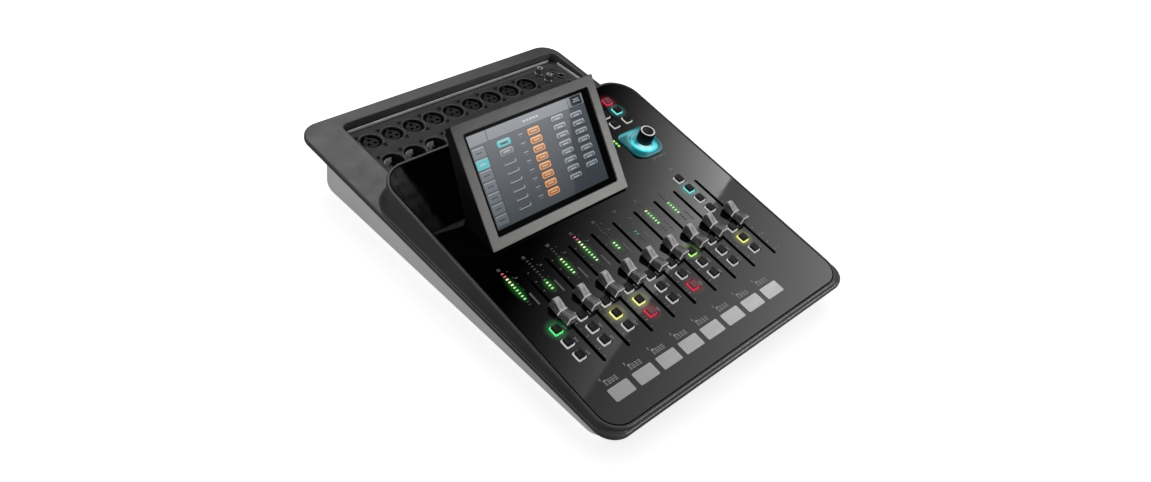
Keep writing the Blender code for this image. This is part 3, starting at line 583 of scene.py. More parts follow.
def glass_black():
    surface = Surface("glass_black", (0.0015, 0.0017, 0.002), 0.06, specular=0.04)
    surface.tone(8, 0.2).rough(30, 0.04, 0.09)
    return surface.material


def rubber():
    surface = Surface("rubber", (0.012, 0.012, 0.012), 0.75, specular=0.3)
    surface.tone(90, 0.3).rough(300, 0.65, 0.85).grain(1500, 0.00005)
    return surface.material


def board_mask():
    surface = Surface("board_mask", (0.004, 0.020, 0.010), 0.5)
    surface.tone(140, 0.4).rough(200, 0.4, 0.6).grain(900, 0.00004)
    return surface.material


def supply_metal():
    """Galvanised box inside; the inlet and switch frames that reach the rear wall are black moulding."""
    surface = Surface("supply_metal", (0.42, 0.42, 0.43), 0.4, metallic=0.6)
    flakes = surface.node("ShaderNodeTexVoronoi")
    flakes.inputs["Scale"].default_value = 160
    surface.link(surface.place, flakes.inputs["Vector"])
    zinc = surface.mixed(surface.spread(flakes.outputs["Distance"], 0.0, 1.0, (0.0, 0.8)),
                         (0.30, 0.30, 0.31), (0.50, 0.50, 0.52))
    axes = surface.node("ShaderNodeSeparateXYZ")
    surface.link(surface.place, axes.inputs["Vector"])
    rear = surface.spread(axes.outputs["Y"], 0.0, 1.0, (0.2005, 0.2010))
    surface.paint(surface.mixed(rear, zinc, (0.008, 0.008, 0.008)))
    surface.link(surface.spread(rear, 0.6, 0.0, (0.0, 1.0)), surface.shader.inputs["Metallic"])
    surface.grain(2000, 0.00002)
    return surface.material


def cap_plastic(name, color, light):
    """Silver moulding with fine grip grain, rubbed lighter along its ridges, and lengthwise streaks in its colour as
    painted highlights.
    """
    surface = Surface(name, color, 0.34, metallic=0.15, specular=0.5)
    painted_highlight_streak = surface.spread(surface.noise(1500, 2.0, (1.0, 0.08, 0.08)), 0.0, 1.0, (0.38, 0.62))
    surface.paint(surface.mixed(painted_highlight_streak, tuple(0.62 * c for c in color), tuple(1.35 * c for c in color)))
    surface.rough(500, 0.28, 0.42, (4.0, 1.0, 1.0)).grain(2600, 0.00002).wear(light, 0.8)
    return surface.material


def paint_white(name, color):
    surface = Surface(name, color, 0.5)
    surface.tone(260, 0.08).rough(300, 0.4, 0.6)
    return surface.material


def pad_film():
    """Write-on film: matt, with faint wiping marks, and painted light that makes it lighter towards the right of the
    desk.
    """
    surface = Surface("pad_film", (0.42, 0.415, 0.425), 0.38, specular=0.45)
    axes = surface.node("ShaderNodeSeparateXYZ")
    surface.link(surface.place, axes.inputs["Vector"])
    # Painted light: the film runs from darker at the left to much lighter at the right.
    across = surface.spread(axes.outputs["X"], 0.0, 1.0, (-0.14, 0.10))
    painted_light_ramp = surface.mixed(across, (0.40, 0.395, 0.402), (0.84, 0.83, 0.84))
    smear = surface.spread(surface.noise(60, 5.0, (1.0, 3.0, 1.0)), 0.0, 0.35)
    surface.paint(surface.mixed(smear, painted_light_ramp, (0.47, 0.465, 0.475)))
    surface.rough(120, 0.30, 0.46).grain(1600, 0.00001)
    return surface.material


def key_black():
    surface = Surface("key_black", (0.003, 0.003, 0.0033), 0.42, specular=0.3)
    surface.tone(300, 0.25).rough(400, 0.30, 0.46).grain(3000, 0.00001).wear((0.03, 0.03, 0.03), 0.5)
    return surface.material


def lit_plastic(name, color, strength, bright=None):
    """Milky light guide lit from below, with a cloudy body."""
    surface = Surface(name, tuple(0.55 * c + 0.05 for c in color), 0.35, specular=0.4)
    cloud = surface.spread(surface.noise(420, 2.0), 0.0, 1.0)
    surface.glow(surface.mixed(cloud, tuple(c * 0.8 for c in color), bright or color), strength)
    surface.rough(300, 0.28, 0.42)
    return surface.material


def unlit(name, color):
    surface = Surface(name, color, 0.4)
    surface.tone(400, 0.3).rough(300, 0.3, 0.5)
    return surface.material


def lens_glow():
    """Lit lens, whose brightness at each point is stored in its mesh, with a faint cloudiness."""
    surface = Surface("lens_glow", (0.006, 0.10, 0.12), 0.12, specular=0.5, coat=0.5)
    light = surface.node("ShaderNodeAttribute", attribute_name="light").outputs["Color"]
    cloud = surface.spread(surface.noise(160, 3.0), 0.86, 1.10)
    shade = surface.node("ShaderNodeVectorMath", operation="SCALE")
    surface.link(light, shade.inputs[0])
    surface.link(cloud, shade.inputs["Scale"])
    surface.glow(shade.outputs[0], 1.0)
    surface.rough(200, 0.08, 0.20)
    return surface.material


def display(name, low_color, high_color, strength, coat=0.8):
    """Lit display picture that gets lighter up the screen, under a clear glass."""
    surface = Surface(name, (0.004, 0.004, 0.005), 0.10, specular=0.3, coat=coat)
    axes = surface.node("ShaderNodeSeparateXYZ")
    surface.link(surface.place, axes.inputs["Vector"])
    up = surface.spread(axes.outputs["Z"], 0.0, 1.0, (BEZEL_LOW.z + 0.012, BEZEL_HIGH.z - 0.012))
    color = surface.mixed(up, low_color, high_color)
    dots = surface.spread(surface.noise(1400, 1.0), 0.94, 1.04)
    shade = surface.node("ShaderNodeVectorMath", operation="SCALE")
    surface.link(color, shade.inputs[0])
    surface.link(dots, shade.inputs["Scale"])
    surface.glow(shade.outputs[0], strength)
    surface.set("Coat Roughness", 0.015)
    return surface.material


SHELL = shell_plastic()
BASE = base_plastic()
PANEL_FINISH = panel_gloss()
DECK = deck_metal()
LIP_HIGHLIGHT = lip_painted_highlight()
SOCKET = socket_plastic()
INSERT = insert_plastic()
HOLE_SHADE = hole_painted_shade()
BRIGHT = bright_metal()
PIN = pin_metal()
SCREW = screw_metal()
SLEEVE_HIGHLIGHT = sleeve_painted_highlight()
FLANGE_HIGHLIGHT_AND_WEAR = flange_highlight_and_wear()
POD = pod_plastic()
BEZEL = bezel_metal()
GLASS = glass_black()
RUBBER = rubber()
WHITE_PRINT = paint_white("print_white", (0.42, 0.42, 0.43))
GREY_PRINT = paint_white("print_grey", (0.26, 0.26, 0.265))
KEY_TOP = key_black()
LENS = lens_glow()


# ---------------------------------------------------------------- shells

def edge_top(y):
    return EDGE_TOP_AT_REAR + EDGE_SLOPE * (y - SHELL_HIGH.y)


def edge_bottom(y):
    return edge_top(y) - EDGE_THICK


ARC = 16
SIDE = 12


def shell_ring(grow, rear=None, rear_radius=SHELL_RADII[1]):
    rear = SHELL_HIGH.y if rear is None else rear
    points = outline((-SHELL_X, SHELL_X), (SHELL_LOW.y, rear), (SHELL_RADII[0], rear_radius), ARC, SIDE)(grow)
    return [Vector((p.x * (1 + SHELL_FLARE * (p.y - SHELL_WAIST_Y)), p.y)) for p in points]


def panel_ring(grow, height):
    """Outline round the control panel, at a height over its face, in the frame's axes."""
    points = outline(PANEL_X, PANEL_Y, PANEL_RADII, ARC, SIDE)(grow)
    return [PANEL @ Vector((p.x, p.y, height)) for p in points]


def tub(grow):
    return outline(POCKET_X, POCKET_Y, (POCKET_RADIUS, POCKET_RADIUS), ARC, SIDE)(grow)


def hill_rings():
    """Foot on the flange, a wide concave fillet, an upright wall, then a rounded rim and the panel's groove."""
    foot = lift(shell_ring(-EDGE_ROUNDING - GAP, HILL_REAR + HILL_FILLET, HILL_FOOT_RADIUS), edge_top)
    rim = panel_ring(RIM, -RIM_DROP)
    rings = [foot]
    steps, fillet_share = 10, 0.50
    for k in range(1, steps + 1):
        angle = math.pi / 2 * k / steps
        across, up = math.sin(angle), fillet_share * (1 - math.cos(angle))
        rings.append([Vector((a.x + (b.x - a.x) * across, a.y + (b.y - a.y) * across, a.z + (b.z - a.z) * up))
                      for a, b in zip(foot, rim)])
    for k in range(5):
        angle = math.pi / 2 * k / 4
        rings.append(panel_ring(RIM - RIM_DROP * (1 - math.cos(angle)), -RIM_DROP * (1 - math.sin(angle))))
    groove, bevel = 0.0008, 0.0005
    rings.append(panel_ring(groove + bevel, 0.0))
    rings.append(panel_ring(groove + bevel * 0.3, -bevel * 0.3))
    rings.append(panel_ring(groove, -bevel))
    rings.append(panel_ring(groove, -PANEL_THICK - GAP))
    rings.append(panel_ring(-0.005, -PANEL_THICK - GAP))
    rings.append(panel_ring(-0.005, -PANEL_THICK - 0.0035))
    return rings


def make_shell():
    bm = bmesh.new()
    edge = []
    for k in range(5):
        angle = math.pi / 2 * k / 4
        inset = EDGE_ROUNDING * (1 - math.sin(angle))
        edge.append(lift(shell_ring(-inset), lambda y: edge_top(y) - EDGE_ROUNDING * (1 - math.cos(angle))))
    for k in range(4, -1, -1):
        angle = math.pi / 2 * k / 4
        inset = EDGE_ROUNDING * (1 - math.sin(angle))
        edge.append(lift(shell_ring(-inset), lambda y: edge_bottom(y) + EDGE_ROUNDING * (1 - math.cos(angle))))
    flange = skin(bm, edge, None, False, False)

    hill = skin(bm, hill_rings(), None, False, False)
    lip_outline = outline((-0.1565, 0.1565), (BASE_LOW.y + WALL, HILL_REAR - 0.005), (0.020, 0.026), ARC, SIDE)
    lip = add_ring(bm, lift(lip_outline(), edge_bottom))
    strip(bm, hill[-1], lip)

    round_over = 0.0010
    pocket_rings = [lift(tub(round_over), edge_top),
                    lift(tub(round_over * 0.3), lambda y: edge_top(y) - round_over * 0.3),
                    lift(tub(0.0), lambda y: edge_top(y) - round_over)]
    floor = DECK_Z - DECK_THICK - GAP
    pocket_rings += [lift(tub(0.0), floor), lift(tub(-0.002), floor), lift(tub(-0.002), floor - 0.0017),
                     lift(tub(WALL), floor - 0.0017), lift(tub(WALL), edge_bottom)]
    pocket = skin(bm, pocket_rings, None, False, False)

    fill(bm, [flange[0], hill[0], pocket[0]])
    fill(bm, [flange[-1], lip, pocket[-1]])
    piece("shell_moulding", bm, [SHELL], smooth=40, replaces=["top_shell"])


def base_ring(grow):
    return outline((BASE_LOW.x, BASE_HIGH.x), (BASE_LOW.y, BASE_HIGH.y), BASE_RADII, ARC, SIDE)(grow)


def box(bm, x, y, z, rounding=0.0):
    cx, cy = sum(x) / 2, sum(y) / 2
    plate(bm, block_outline(cx, cy, x[1] - x[0], y[1] - y[0], max(rounding, 0.0002), 3), [], z[0], z[1],
          max(rounding, 0.0001), steps=2)


INLET_X, SWITCH_X = (-0.0705, -0.0415), (-0.0365, -0.0235)       # windows in the rear wall


def make_base():
    """Lower body: rounded bottom edge, upright wall that follows the flange, and windows at the rear."""
    bm = bmesh.new()
    radius = 0.0032
    rings = []
    for k in range(6):
        angle = math.pi / 2 * k / 5
        rings.append(lift(base_ring(-radius * (1 - math.sin(angle))), BASE_BOTTOM + radius * (1 - math.cos(angle))))
    top = lambda y: edge_bottom(y) - GAP
    rings += [lift(base_ring(0.0), top), lift(base_ring(-WALL), top), lift(base_ring(-WALL), BASE_BOTTOM + WALL)]
    skin(bm, rings)
    tray = piece("base_moulding", bm, [BASE], smooth=40, replaces=["base_tray"])

    windows = bmesh.new()
    for x in (INLET_X, SWITCH_X):
        box(windows, x, (BASE_HIGH.y - 0.008, BASE_HIGH.y + 0.004), (0.0105, 0.0335), 0.0004)
    cut(tray, windows)
    notch = bmesh.new()
    skin(notch, [lift(tub(WALL + 0.0005), DECK_Z - DECK_THICK - 0.0030), lift(tub(WALL + 0.0005), 0.08)])
    cut(tray, notch)


def make_feet():
    """Rubber feet under the body, each with a counterbore."""
    places = [Vector(mount["pos_m"]) for mount in frame["record"]["mounts"]]
    bm = bmesh.new()
    turned(bm, [(0.0030, 0.0022), (0.0032, 0.0)] + [(0.0078, 0.0), (0.0086, 0.0003), (0.0090, 0.0011),
                (0.0090, 0.0030), (0.0086, 0.0042), (0.0030, 0.0042)], 40)
    foot = finished_mesh("foot", bm, [RUBBER])
    for number, place in enumerate(places):
        placed(f"rubber_foot_{number + 1}", foot, "desk", (), Matrix.Translation((place.x, place.y, 0.0)))


def make_case_screws():
    """Screws that hold the base to the shell, along its two sides and its rear."""
    screw = screw_mesh("case_screw", 0.0030, SCREW)
    places = [(side * 0.147, y) for side in (-1, 1) for y in (-0.205, -0.105, 0.0, 0.105, 0.160)]
    places += [(x, 0.205) for x in (-0.060, 0.060)]
    for number, (x, y) in enumerate(places):
        turn = Matrix.Rotation(math.pi, 4, "X") @ Matrix.Rotation(0.9 * number, 4, "Z")
        placed(f"case_screw_{number + 1}", screw, "desk", (),
               Matrix.Translation((x, y, BASE_BOTTOM - 0.0002)) @ turn)


def make_inlet_pins():
    """Three flat blades in the power inlet."""
    bm = bmesh.new()
    middle = sum(INLET_X) / 2
    for x, z in ((middle - 0.0070, 0.0200), (middle + 0.0070, 0.0200), (middle, 0.0245)):
        box(bm, (x - 0.0010, x + 0.0010), (BASE_HIGH.y - 0.0180, BASE_HIGH.y - 0.0035), (z - 0.0020, z + 0.0020), 0.0003)
    piece("inlet_pins", bm, [BRIGHT])


def screw_mesh(name, head, material):
    """Low dome head with a cross recess."""
    bm = bmesh.new()
    reach, half = head * 0.55, head * 0.13
    rim_z, crown = head * 0.10, head * 0.38
    outer = circle_outline(0, 0, head, 28)
    hole = plus_outline(0, 0, reach, half)
    plate(bm, outer, [hole], -0.0006, crown * 0.7, rim_z * 2.0, 0, 4)
    # Recess floor in black: painted shade.
    floor = add_ring(bm, lift(plus_outline(0, 0, reach + 0.00005, half + 0.00005)(), crown * 0.1))
    fill(bm, [floor], 1)
    return finished_mesh(name, bm, [material, HOLE_SHADE])


# ---------------------------------------------------------------- control panel

def make_panel():
    """Glossy plate with rounded slots and key holes."""
    holes = []
    for cap in sorted(CAPS):
        x = on_panel(cap).x
        holes.append(outline((x - 0.0015, x + 0.0015), (0.0, SLOT_LENGTH), (0.0015, 0.0015), 5))
    for key in sorted(KEYS):
        spot = on_panel(key)
        holes.append(block_outline(spot.x, spot.y, 0.0108, 0.0108, 0.0012, 3))
    knob = PANEL.inverted() @ PIVOT
    holes.append(circle_outline(knob.x, knob.y, 0.004, 24))
    bm = bmesh.new()
    plate(bm, outline(PANEL_X, PANEL_Y, PANEL_RADII, ARC), holes, -PANEL_THICK, 0.0, 0.0004)
    piece("panel_plate", bm, [PANEL_FINISH], PANEL, replaces=["control_panel"])


def make_keys():
    """Each key: a black top with a soft dish, standing on a milky skirt that shows the key's color."""
    skirt = block_outline(0, 0, 0.0096, 0.0096, 0.0012, 4)
    top = block_outline(0, 0, 0.0082, 0.0082, 0.0011, 4)
    steps = ((0.0, 0.0005), (0.0, 0.0019), (0.00012, 0.0023), (0.0004, 0.0026), (0.0008, 0.0027),
             (0.0016, 0.0026), (0.0028, 0.00245))
    meshes = {}
    for color, rgb in LIT.items():
        bm = bmesh.new()
        plate(bm, skirt, [], -0.0064, 0.0005, 0.0002, 0, 2)
        skin(bm, [lift(top(-inset), z) for inset, z in steps], [1] * (len(steps) - 1))
        glow = lit_plastic("key_" + color, rgb, 1.0, tuple(min(1.0, 1.3 * c) for c in rgb))
        top_finish = lit_plastic("key_top_red", (0.075, 0.003, 0.010), 1.0) if color == "red" else KEY_TOP
        meshes[color] = finished_mesh("key_" + color, bm, [glow, top_finish])
    for key in KEYS:
        where = PANEL @ Matrix.Translation((*on_panel(key).xy, 0.0))
        placed(key + "_cap", meshes[KEY_COLORS.get(key, "white")], key, [key], where)


CAP_STATIONS = ((-0.500, 0.0096, 0.0078, 0.0070), (-0.485, 0.0106, 0.0088, 0.0090), (-0.455, 0.0112, 0.0093, 0.0101),
                (-0.40, 0.0114, 0.0093, 0.0103), (-0.30, 0.0115, 0.0090, 0.0096), (-0.20, 0.0116, 0.0088, 0.0087),
                (-0.10, 0.0117, 0.0088, 0.0077), (-0.045, 0.0118, 0.0089, 0.0073), (0.045, 0.0118, 0.0089, 0.0073),
                (0.10, 0.0117, 0.0086, 0.0077), (0.20, 0.0116, 0.0082, 0.0088), (0.30, 0.0114, 0.0078, 0.0099),
                (0.40, 0.0111, 0.0075, 0.0107), (0.455, 0.0108, 0.0073, 0.0106), (0.485, 0.0102, 0.0070, 0.0096),
                (0.500, 0.0092, 0.0062, 0.0074))


def cap_section(wide, narrow, height, y):
    """One cross-section of a fader cap: upright foot, leaning sides, rounded shoulders."""
    foot = 0.0018
    half, top = wide / 2, narrow / 2
    shoulder = 0.0014
    right = [(half - 0.0003, foot), (half, foot + 0.0004), (half - 0.0001, foot + 0.0012)]
    lean_from = Vector((half - 0.0001, foot + 0.0012))
    lean_to = Vector((top, height - shoulder))
    right.append(tuple(lean_from.lerp(lean_to, 0.5)))
    for k in range(5):
        angle = math.pi / 2 * k / 4
        right.append((top - shoulder * (1 - math.cos(angle)), height - shoulder * (1 - math.sin(angle))))
    groove = 0.00035
    right += [(top * 0.60, height), (top * 0.50, height - groove), (top * 0.40, height), (top * 0.16, height),
              (top * 0.07, height - groove)]
    return [Vector((x, y, z)) for x, z in right] + [Vector((-x, y, z)) for x, z in reversed(right)]


def make_caps():
    """Saddle-topped caps: a silver rear half, darker copies of the same plastic on the front half and the steep flanks
    as painted shade, and a white line across the middle and the front.
    """
    length = 0.0264
    silver = cap_plastic("cap_silver", (0.52, 0.51, 0.52), (0.80, 0.80, 0.80))
    dark = cap_plastic("cap_front_shade", (0.155, 0.152, 0.156), (0.45, 0.45, 0.46))
    # The cap's printed line glows: painted light on a line that is no lamp.
    line = lit_plastic("cap_line_painted_glow", (0.34, 0.34, 0.34), 1.0)
    shaded_flank = cap_plastic("cap_shaded_flank", (0.105, 0.103, 0.106), (0.34, 0.34, 0.34))
    sections = []
    for share, wide, narrow, height in CAP_STATIONS:
        sections.append((share, cap_section(wide, narrow, height, share * length)))
    cut_line = 0.024
    middle = [(s, cap_section(0.0118, 0.0089, 0.0073, s * length)) for s in (-cut_line, cut_line)]
    sections = sorted(sections + middle, key=lambda item: item[0])
    # Rear half silver; front half in the darker copy, as painted shade.
    bands = []
    for (low, _), (high, _) in zip(sections, sections[1:]):
        half_way = (low + high) / 2
        if abs(half_way) < cut_line or -0.49 < half_way < -0.46:
            bands.append(2)
        else:
            bands.append(0 if half_way > 0 else 1)
    bm = bmesh.new()
    skin(bm, [ring for _, ring in sections], bands)
    bm.normal_update()
    # Faces that look sideways take the darkest copy: painted shade on the flanks.
    for face in bm.faces:
        if abs(face.normal.x) > 0.75 and face.material_index in (0, 1):
            face.material_index = 4
    plate(bm, block_outline(0, 0, 0.0016, 0.0070, 0.0004, 2), [], -0.0095, 0.0026, 0.0001, 3, 1)
    mesh = finished_mesh("fader_cap", bm, [silver, dark, line, SCREW, shaded_flank], 38)
    for cap in CAPS:
        where = PANEL @ Matrix.Translation((on_panel(cap).x, SLOT_LENGTH / 2, 0.0))
        placed(cap + "_moulding", mesh, cap, [cap], where)


def make_meters():
    """A column of twelve small lamps beside each fader; the lit ones show red, yellow and green."""
    finishes = {"R": lit_plastic("lamp_red", (0.34, 0.02, 0.05), 1.0, (0.66, 0.16, 0.20)),
                "Y": lit_plastic("lamp_yellow", (0.84, 0.80, 0.42), 1.0, (1.0, 0.98, 0.76)),
                "G": lit_plastic("lamp_green", (0.22, 0.66, 0.18), 1.0, (0.66, 0.92, 0.56)),
                "g": lit_plastic("lamp_green_low", (0.03, 0.22, 0.07), 1.0),
                ".": unlit("lamp_off", (0.050, 0.050, 0.052))}
    order = list(finishes)
    for channel, states in enumerate(METER_LIT):
        bm = bmesh.new()
        x = on_panel(f"fader_cap_{channel + 1}").x + METER_X * PITCH
        for row, state in enumerate(states):
            y = (METER_REAR - row * METER_STEP) * PITCH
            plate(bm, block_outline(x, y, 0.0029, 0.0015, 0.0005, 4), [], -0.0002, 0.00035, 0.00020,
                  order.index(state), 2)
        piece(f"level_meter_{channel + 1}", bm, list(finishes.values()), PANEL)


def dash(bm, x, y, width, depth, material=0):
    """A printed mark, a film's thickness over the panel. x and y are in pitches."""
    plate(bm, block_outline(x * PITCH, y * PITCH, width, depth, 0.0002, 2), [], 0.00002, 0.00009, 0.00003, material, 1)


def make_print():
    """Scale ticks, label dashes and bars printed on the panel."""
    random.seed(7)
    bm = bmesh.new()
    white, grey, dim = range(3)
    master = on_panel("master_fader_cap").x / PITCH
    for channel in range(CHANNELS):
        u = on_panel(f"fader_cap_{channel + 1}").x / PITCH
        for v in (3.60, 3.22, 2.84, 2.46, 1.20, 0.90, 0.52, 0.14):
            dash(bm, u + 0.13, v, 0.0017, 0.0006, grey)
        dash(bm, u - 0.33, 2.76, 0.0019, 0.0140, dim)
        for line in range(2):
            dash(bm, u - 0.60, 4.11 + 0.06 * line, random.uniform(0.0030, 0.0046), 0.0010, dim)
        dash(bm, u - 0.31, 3.65, 0.0032, 0.0011, dim)
        for row in range(4):
            dash(bm, u - 0.40, METER_REAR - 0.26 * row, 0.0012, 0.0007, dim)
        for row in range(3):
            for line in range(3):
                wide = random.uniform(0.0016, 0.0030)
                dash(bm, u - 0.24, 0.44 + row * 0.511 + 0.055 * line, wide, 0.0009, grey)
            dash(bm, u + 0.15, 0.40 + row * 0.511, 0.0026, 0.0008, grey)
        dash(bm, u - 0.60, -0.38, 0.0012, 0.0028, grey)
        dash(bm, u - 0.50, -0.47, 0.0030, 0.0010, white)
        for line in range(3):
            for k in range(4):
                dash(bm, u - 0.52 + 0.13 * k, -0.50 - 0.06 * line, random.uniform(0.0024, 0.0036), 0.0011, grey)
    for k in range(11):
        v = 0.14 + 0.352 * k
        dash(bm, master + 0.17, v, 0.0018, 0.0006, white)
        if k % 2 == 0:
            dash(bm, master + 0.32, v, 0.0022, 0.0014, grey)
    for row in (0, 1, 2, 4, 5, 6, 7):
        for line in range(2):
            dash(bm, master - 0.25, 0.46 + row * 0.511 + 0.055 * line, 0.0024, 0.0007, grey)
    dash(bm, master - 0.42, 4.62, 0.0060, 0.0009, grey)
    for k in range(4):
        dash(bm, 7.56 + 0.19 * k, 5.30, random.uniform(0.0036, 0.0048), 0.0010, grey)
        dash(bm, 7.50 + 0.19 * k, 5.22, random.uniform(0.0030, 0.0042), 0.0008, dim)
    finishes = [WHITE_PRINT, GREY_PRINT, paint_white("print_dim", (0.115, 0.114, 0.118))]
    piece("panel_printing", bm, finishes, PANEL)


def make_pads():
    """Write-on pads along the front, one for each channel."""
    film = pad_film()
    for channel in range(CHANNELS):
        bm = bmesh.new()
        x = on_panel(f"fader_cap_{channel + 1}").x - 0.273 * PITCH
        plate(bm, block_outline(x, -0.971 * PITCH, 0.0240, 0.0135, 0.0015, 5), [], 0.00002, 0.0003, 0.00012, 0, 2)
        piece(f"write_on_pad_{channel + 1}", bm, [film], PANEL)


def make_status_lamps():
    """Three round lamps at the left of the encoder."""
    glow = lit_plastic("status_green", (0.30, 0.90, 0.12), 1.1)
    bm = bmesh.new()
    for k in range(3):
        turned(bm, rounded_profile(0.0013, -0.0002, 0.0008, 0.0006), 20, (6.80 * PITCH, (6.38 + 0.13 * k) * PITCH))
    piece("status_lamps", bm, [glow], PANEL)


def smooth_step(value, low, high):
    share = min(max((value - low) / (high - low), 0.0), 1.0)
    return share * share * (3 - 2 * share)


def lens_light(x, y):
    """Color of the lit lens at a point relative to the knob: a bright crescent in front of the knob and to its
    left, a paler strip along the rear edge, and dark corners at the right."""
    radius = max(math.hypot(x, y), 0.0001)
    facing = (-0.52 * x - 0.85 * y) / radius
    crescent = smooth_step(radius, 0.0100, 0.0122) * smooth_step(radius, 0.0172, 0.0148) * smooth_step(facing, -0.35, 0.35)
    core = smooth_step(radius, 0.0150, 0.0095) * smooth_step(facing, 0.25, 0.95)
    body = smooth_step(radius, 0.0225, 0.0135)
    strip = smooth_step(y, 0.0150, 0.0168) * smooth_step(x, 0.0060, -0.0060)
    shade = 1.0 - 0.85 * smooth_step(x - 0.45 * y, 0.0125, 0.0200)
    base = Vector((0.003, 0.045, 0.056)).lerp(Vector((0.010, 0.215, 0.255)), body)
    color = base + Vector((0.10, 0.62, 0.66)) * crescent + Vector((0.42, 0.62, 0.60)) * core
    color += Vector((0.05, 0.24, 0.25)) * strip
    return color * shade


def make_lens(knob):
    """Plate with a dish round the knob, in rings that run from its rounded outline to a circle."""
    low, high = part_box("encoder_lens")
    spot = on_panel("encoder_lens")
    half_x, half_y = (high.x - low.x) / 2, 0.0200
    edge = outline((spot.x - half_x, spot.x + half_x), (spot.y - half_y, spot.y + half_y), (0.0140, 0.0080), 12, 6)
    middle = Vector((knob.x, knob.y))
    top, bore, depth, rings_across = 0.0016, 0.0042, 0.0008, 18

    def ring(share):
        """share 0 is the plate's edge and 1 is the bore."""
        found = []
        for p in edge(-0.0005):
            away = (p - middle).normalized()
            found.append(middle + away * ((p - middle).length * (1 - share) + bore * share))
        return found

    def height(point):
        return top - depth * smooth_step((point - middle).length, 0.0175, 0.0125)

    rings = [lift(edge(), GAP), lift(edge(), top - 0.0005), lift(edge(-0.00015), top - 0.00015)]
    for k in range(rings_across + 1):
        rings.append([Vector((p.x, p.y, height(p))) for p in ring(k / rings_across)])
    rings.append(lift(ring(1.0), GAP))
    bm = bmesh.new()
    rows = skin(bm, rings, None, False, False)
    strip(bm, rows[-1], rows[0])
    mesh = finished_mesh("lens_plate", bm, [LENS])
    light = mesh.attributes.new("light", "FLOAT_COLOR", "POINT")
    for vert, shade in zip(mesh.vertices, light.data):
        shade.color = (*lens_light(vert.co.x - middle.x, vert.co.y - middle.y), 1.0)
    mesh.transform(PANEL)
    placed("lens_plate", mesh, "desk", ["encoder_lens"])


def make_encoder():
    """Lens plate with a dish round the knob, and the knob with its grip ribs and white ring."""
    knob = PANEL.inverted() @ PIVOT
    make_lens(knob)

    bm = bmesh.new()
    radius, low_z, high_z = 0.0088, 0.0026, 0.0171
    ribs = 36

    def ribbed(r, z, depth_of_rib):
        found = []
        for k in range(ribs * 4):
            angle = 2 * math.pi * k / (ribs * 4)
            dip = depth_of_rib if k % 4 == 0 else 0.0
            found.append(Vector(((r - dip) * math.cos(angle), (r - dip) * math.sin(angle), z)))
        return found

    rings = [ribbed(0.0035, 0.0122, 0), ribbed(0.0035, low_z, 0), ribbed(radius - 0.0006, low_z, 0),
             ribbed(radius, low_z + 0.0008, 0.0003), ribbed(radius - 0.0002, high_z - 0.0016, 0.0003),
             ribbed(radius - 0.0005, high_z - 0.0006, 0), ribbed(radius - 0.0009, high_z - 0.0001, 0),
             ribbed(radius - 0.0012, high_z, 0), ribbed(radius - 0.0025, high_z, 0),
             ribbed(radius - 0.0029, high_z - 0.0004, 0), ribbed(0.0040, high_z - 0.0009, 0),
             ribbed(0.0010, high_z - 0.0010, 0)]
    white = lit_plastic("knob_ring", (0.80, 0.80, 0.79), 0.35)
    skin(bm, rings, [0, 0, 0, 0, 0, 0, 1, 1, 0, 0, 0])
    where = PANEL @ Matrix.Translation((knob.x, knob.y, 0.0))
    mesh = finished_mesh("knob", bm, [KEY_TOP, white], 30)
    placed("encoder_knob_moulding", mesh, "encoder_knob", ["encoder_knob"], where)


# ---------------------------------------------------------------- screen

def make_bezel():
    """Painted frame with rounded outer and inner edges."""
    bm = bmesh.new()
    outer = outline((0, SCREEN_W), (0, SCREEN_H), (0.0014, 0.0014), 6)
    inner = outline((BEZEL_BORDER, SCREEN_W - BEZEL_BORDER), (BEZEL_BORDER, SCREEN_H - BEZEL_BORDER),
                    (0.002, 0.002), 5)
    plate(bm, outer, [inner], -BEZEL_THICK, 0.0, 0.0006, 0, 3, wall=1)
    piece("bezel_frame", bm, [BEZEL, POD], SCREEN, replaces=["screen_bezel"])


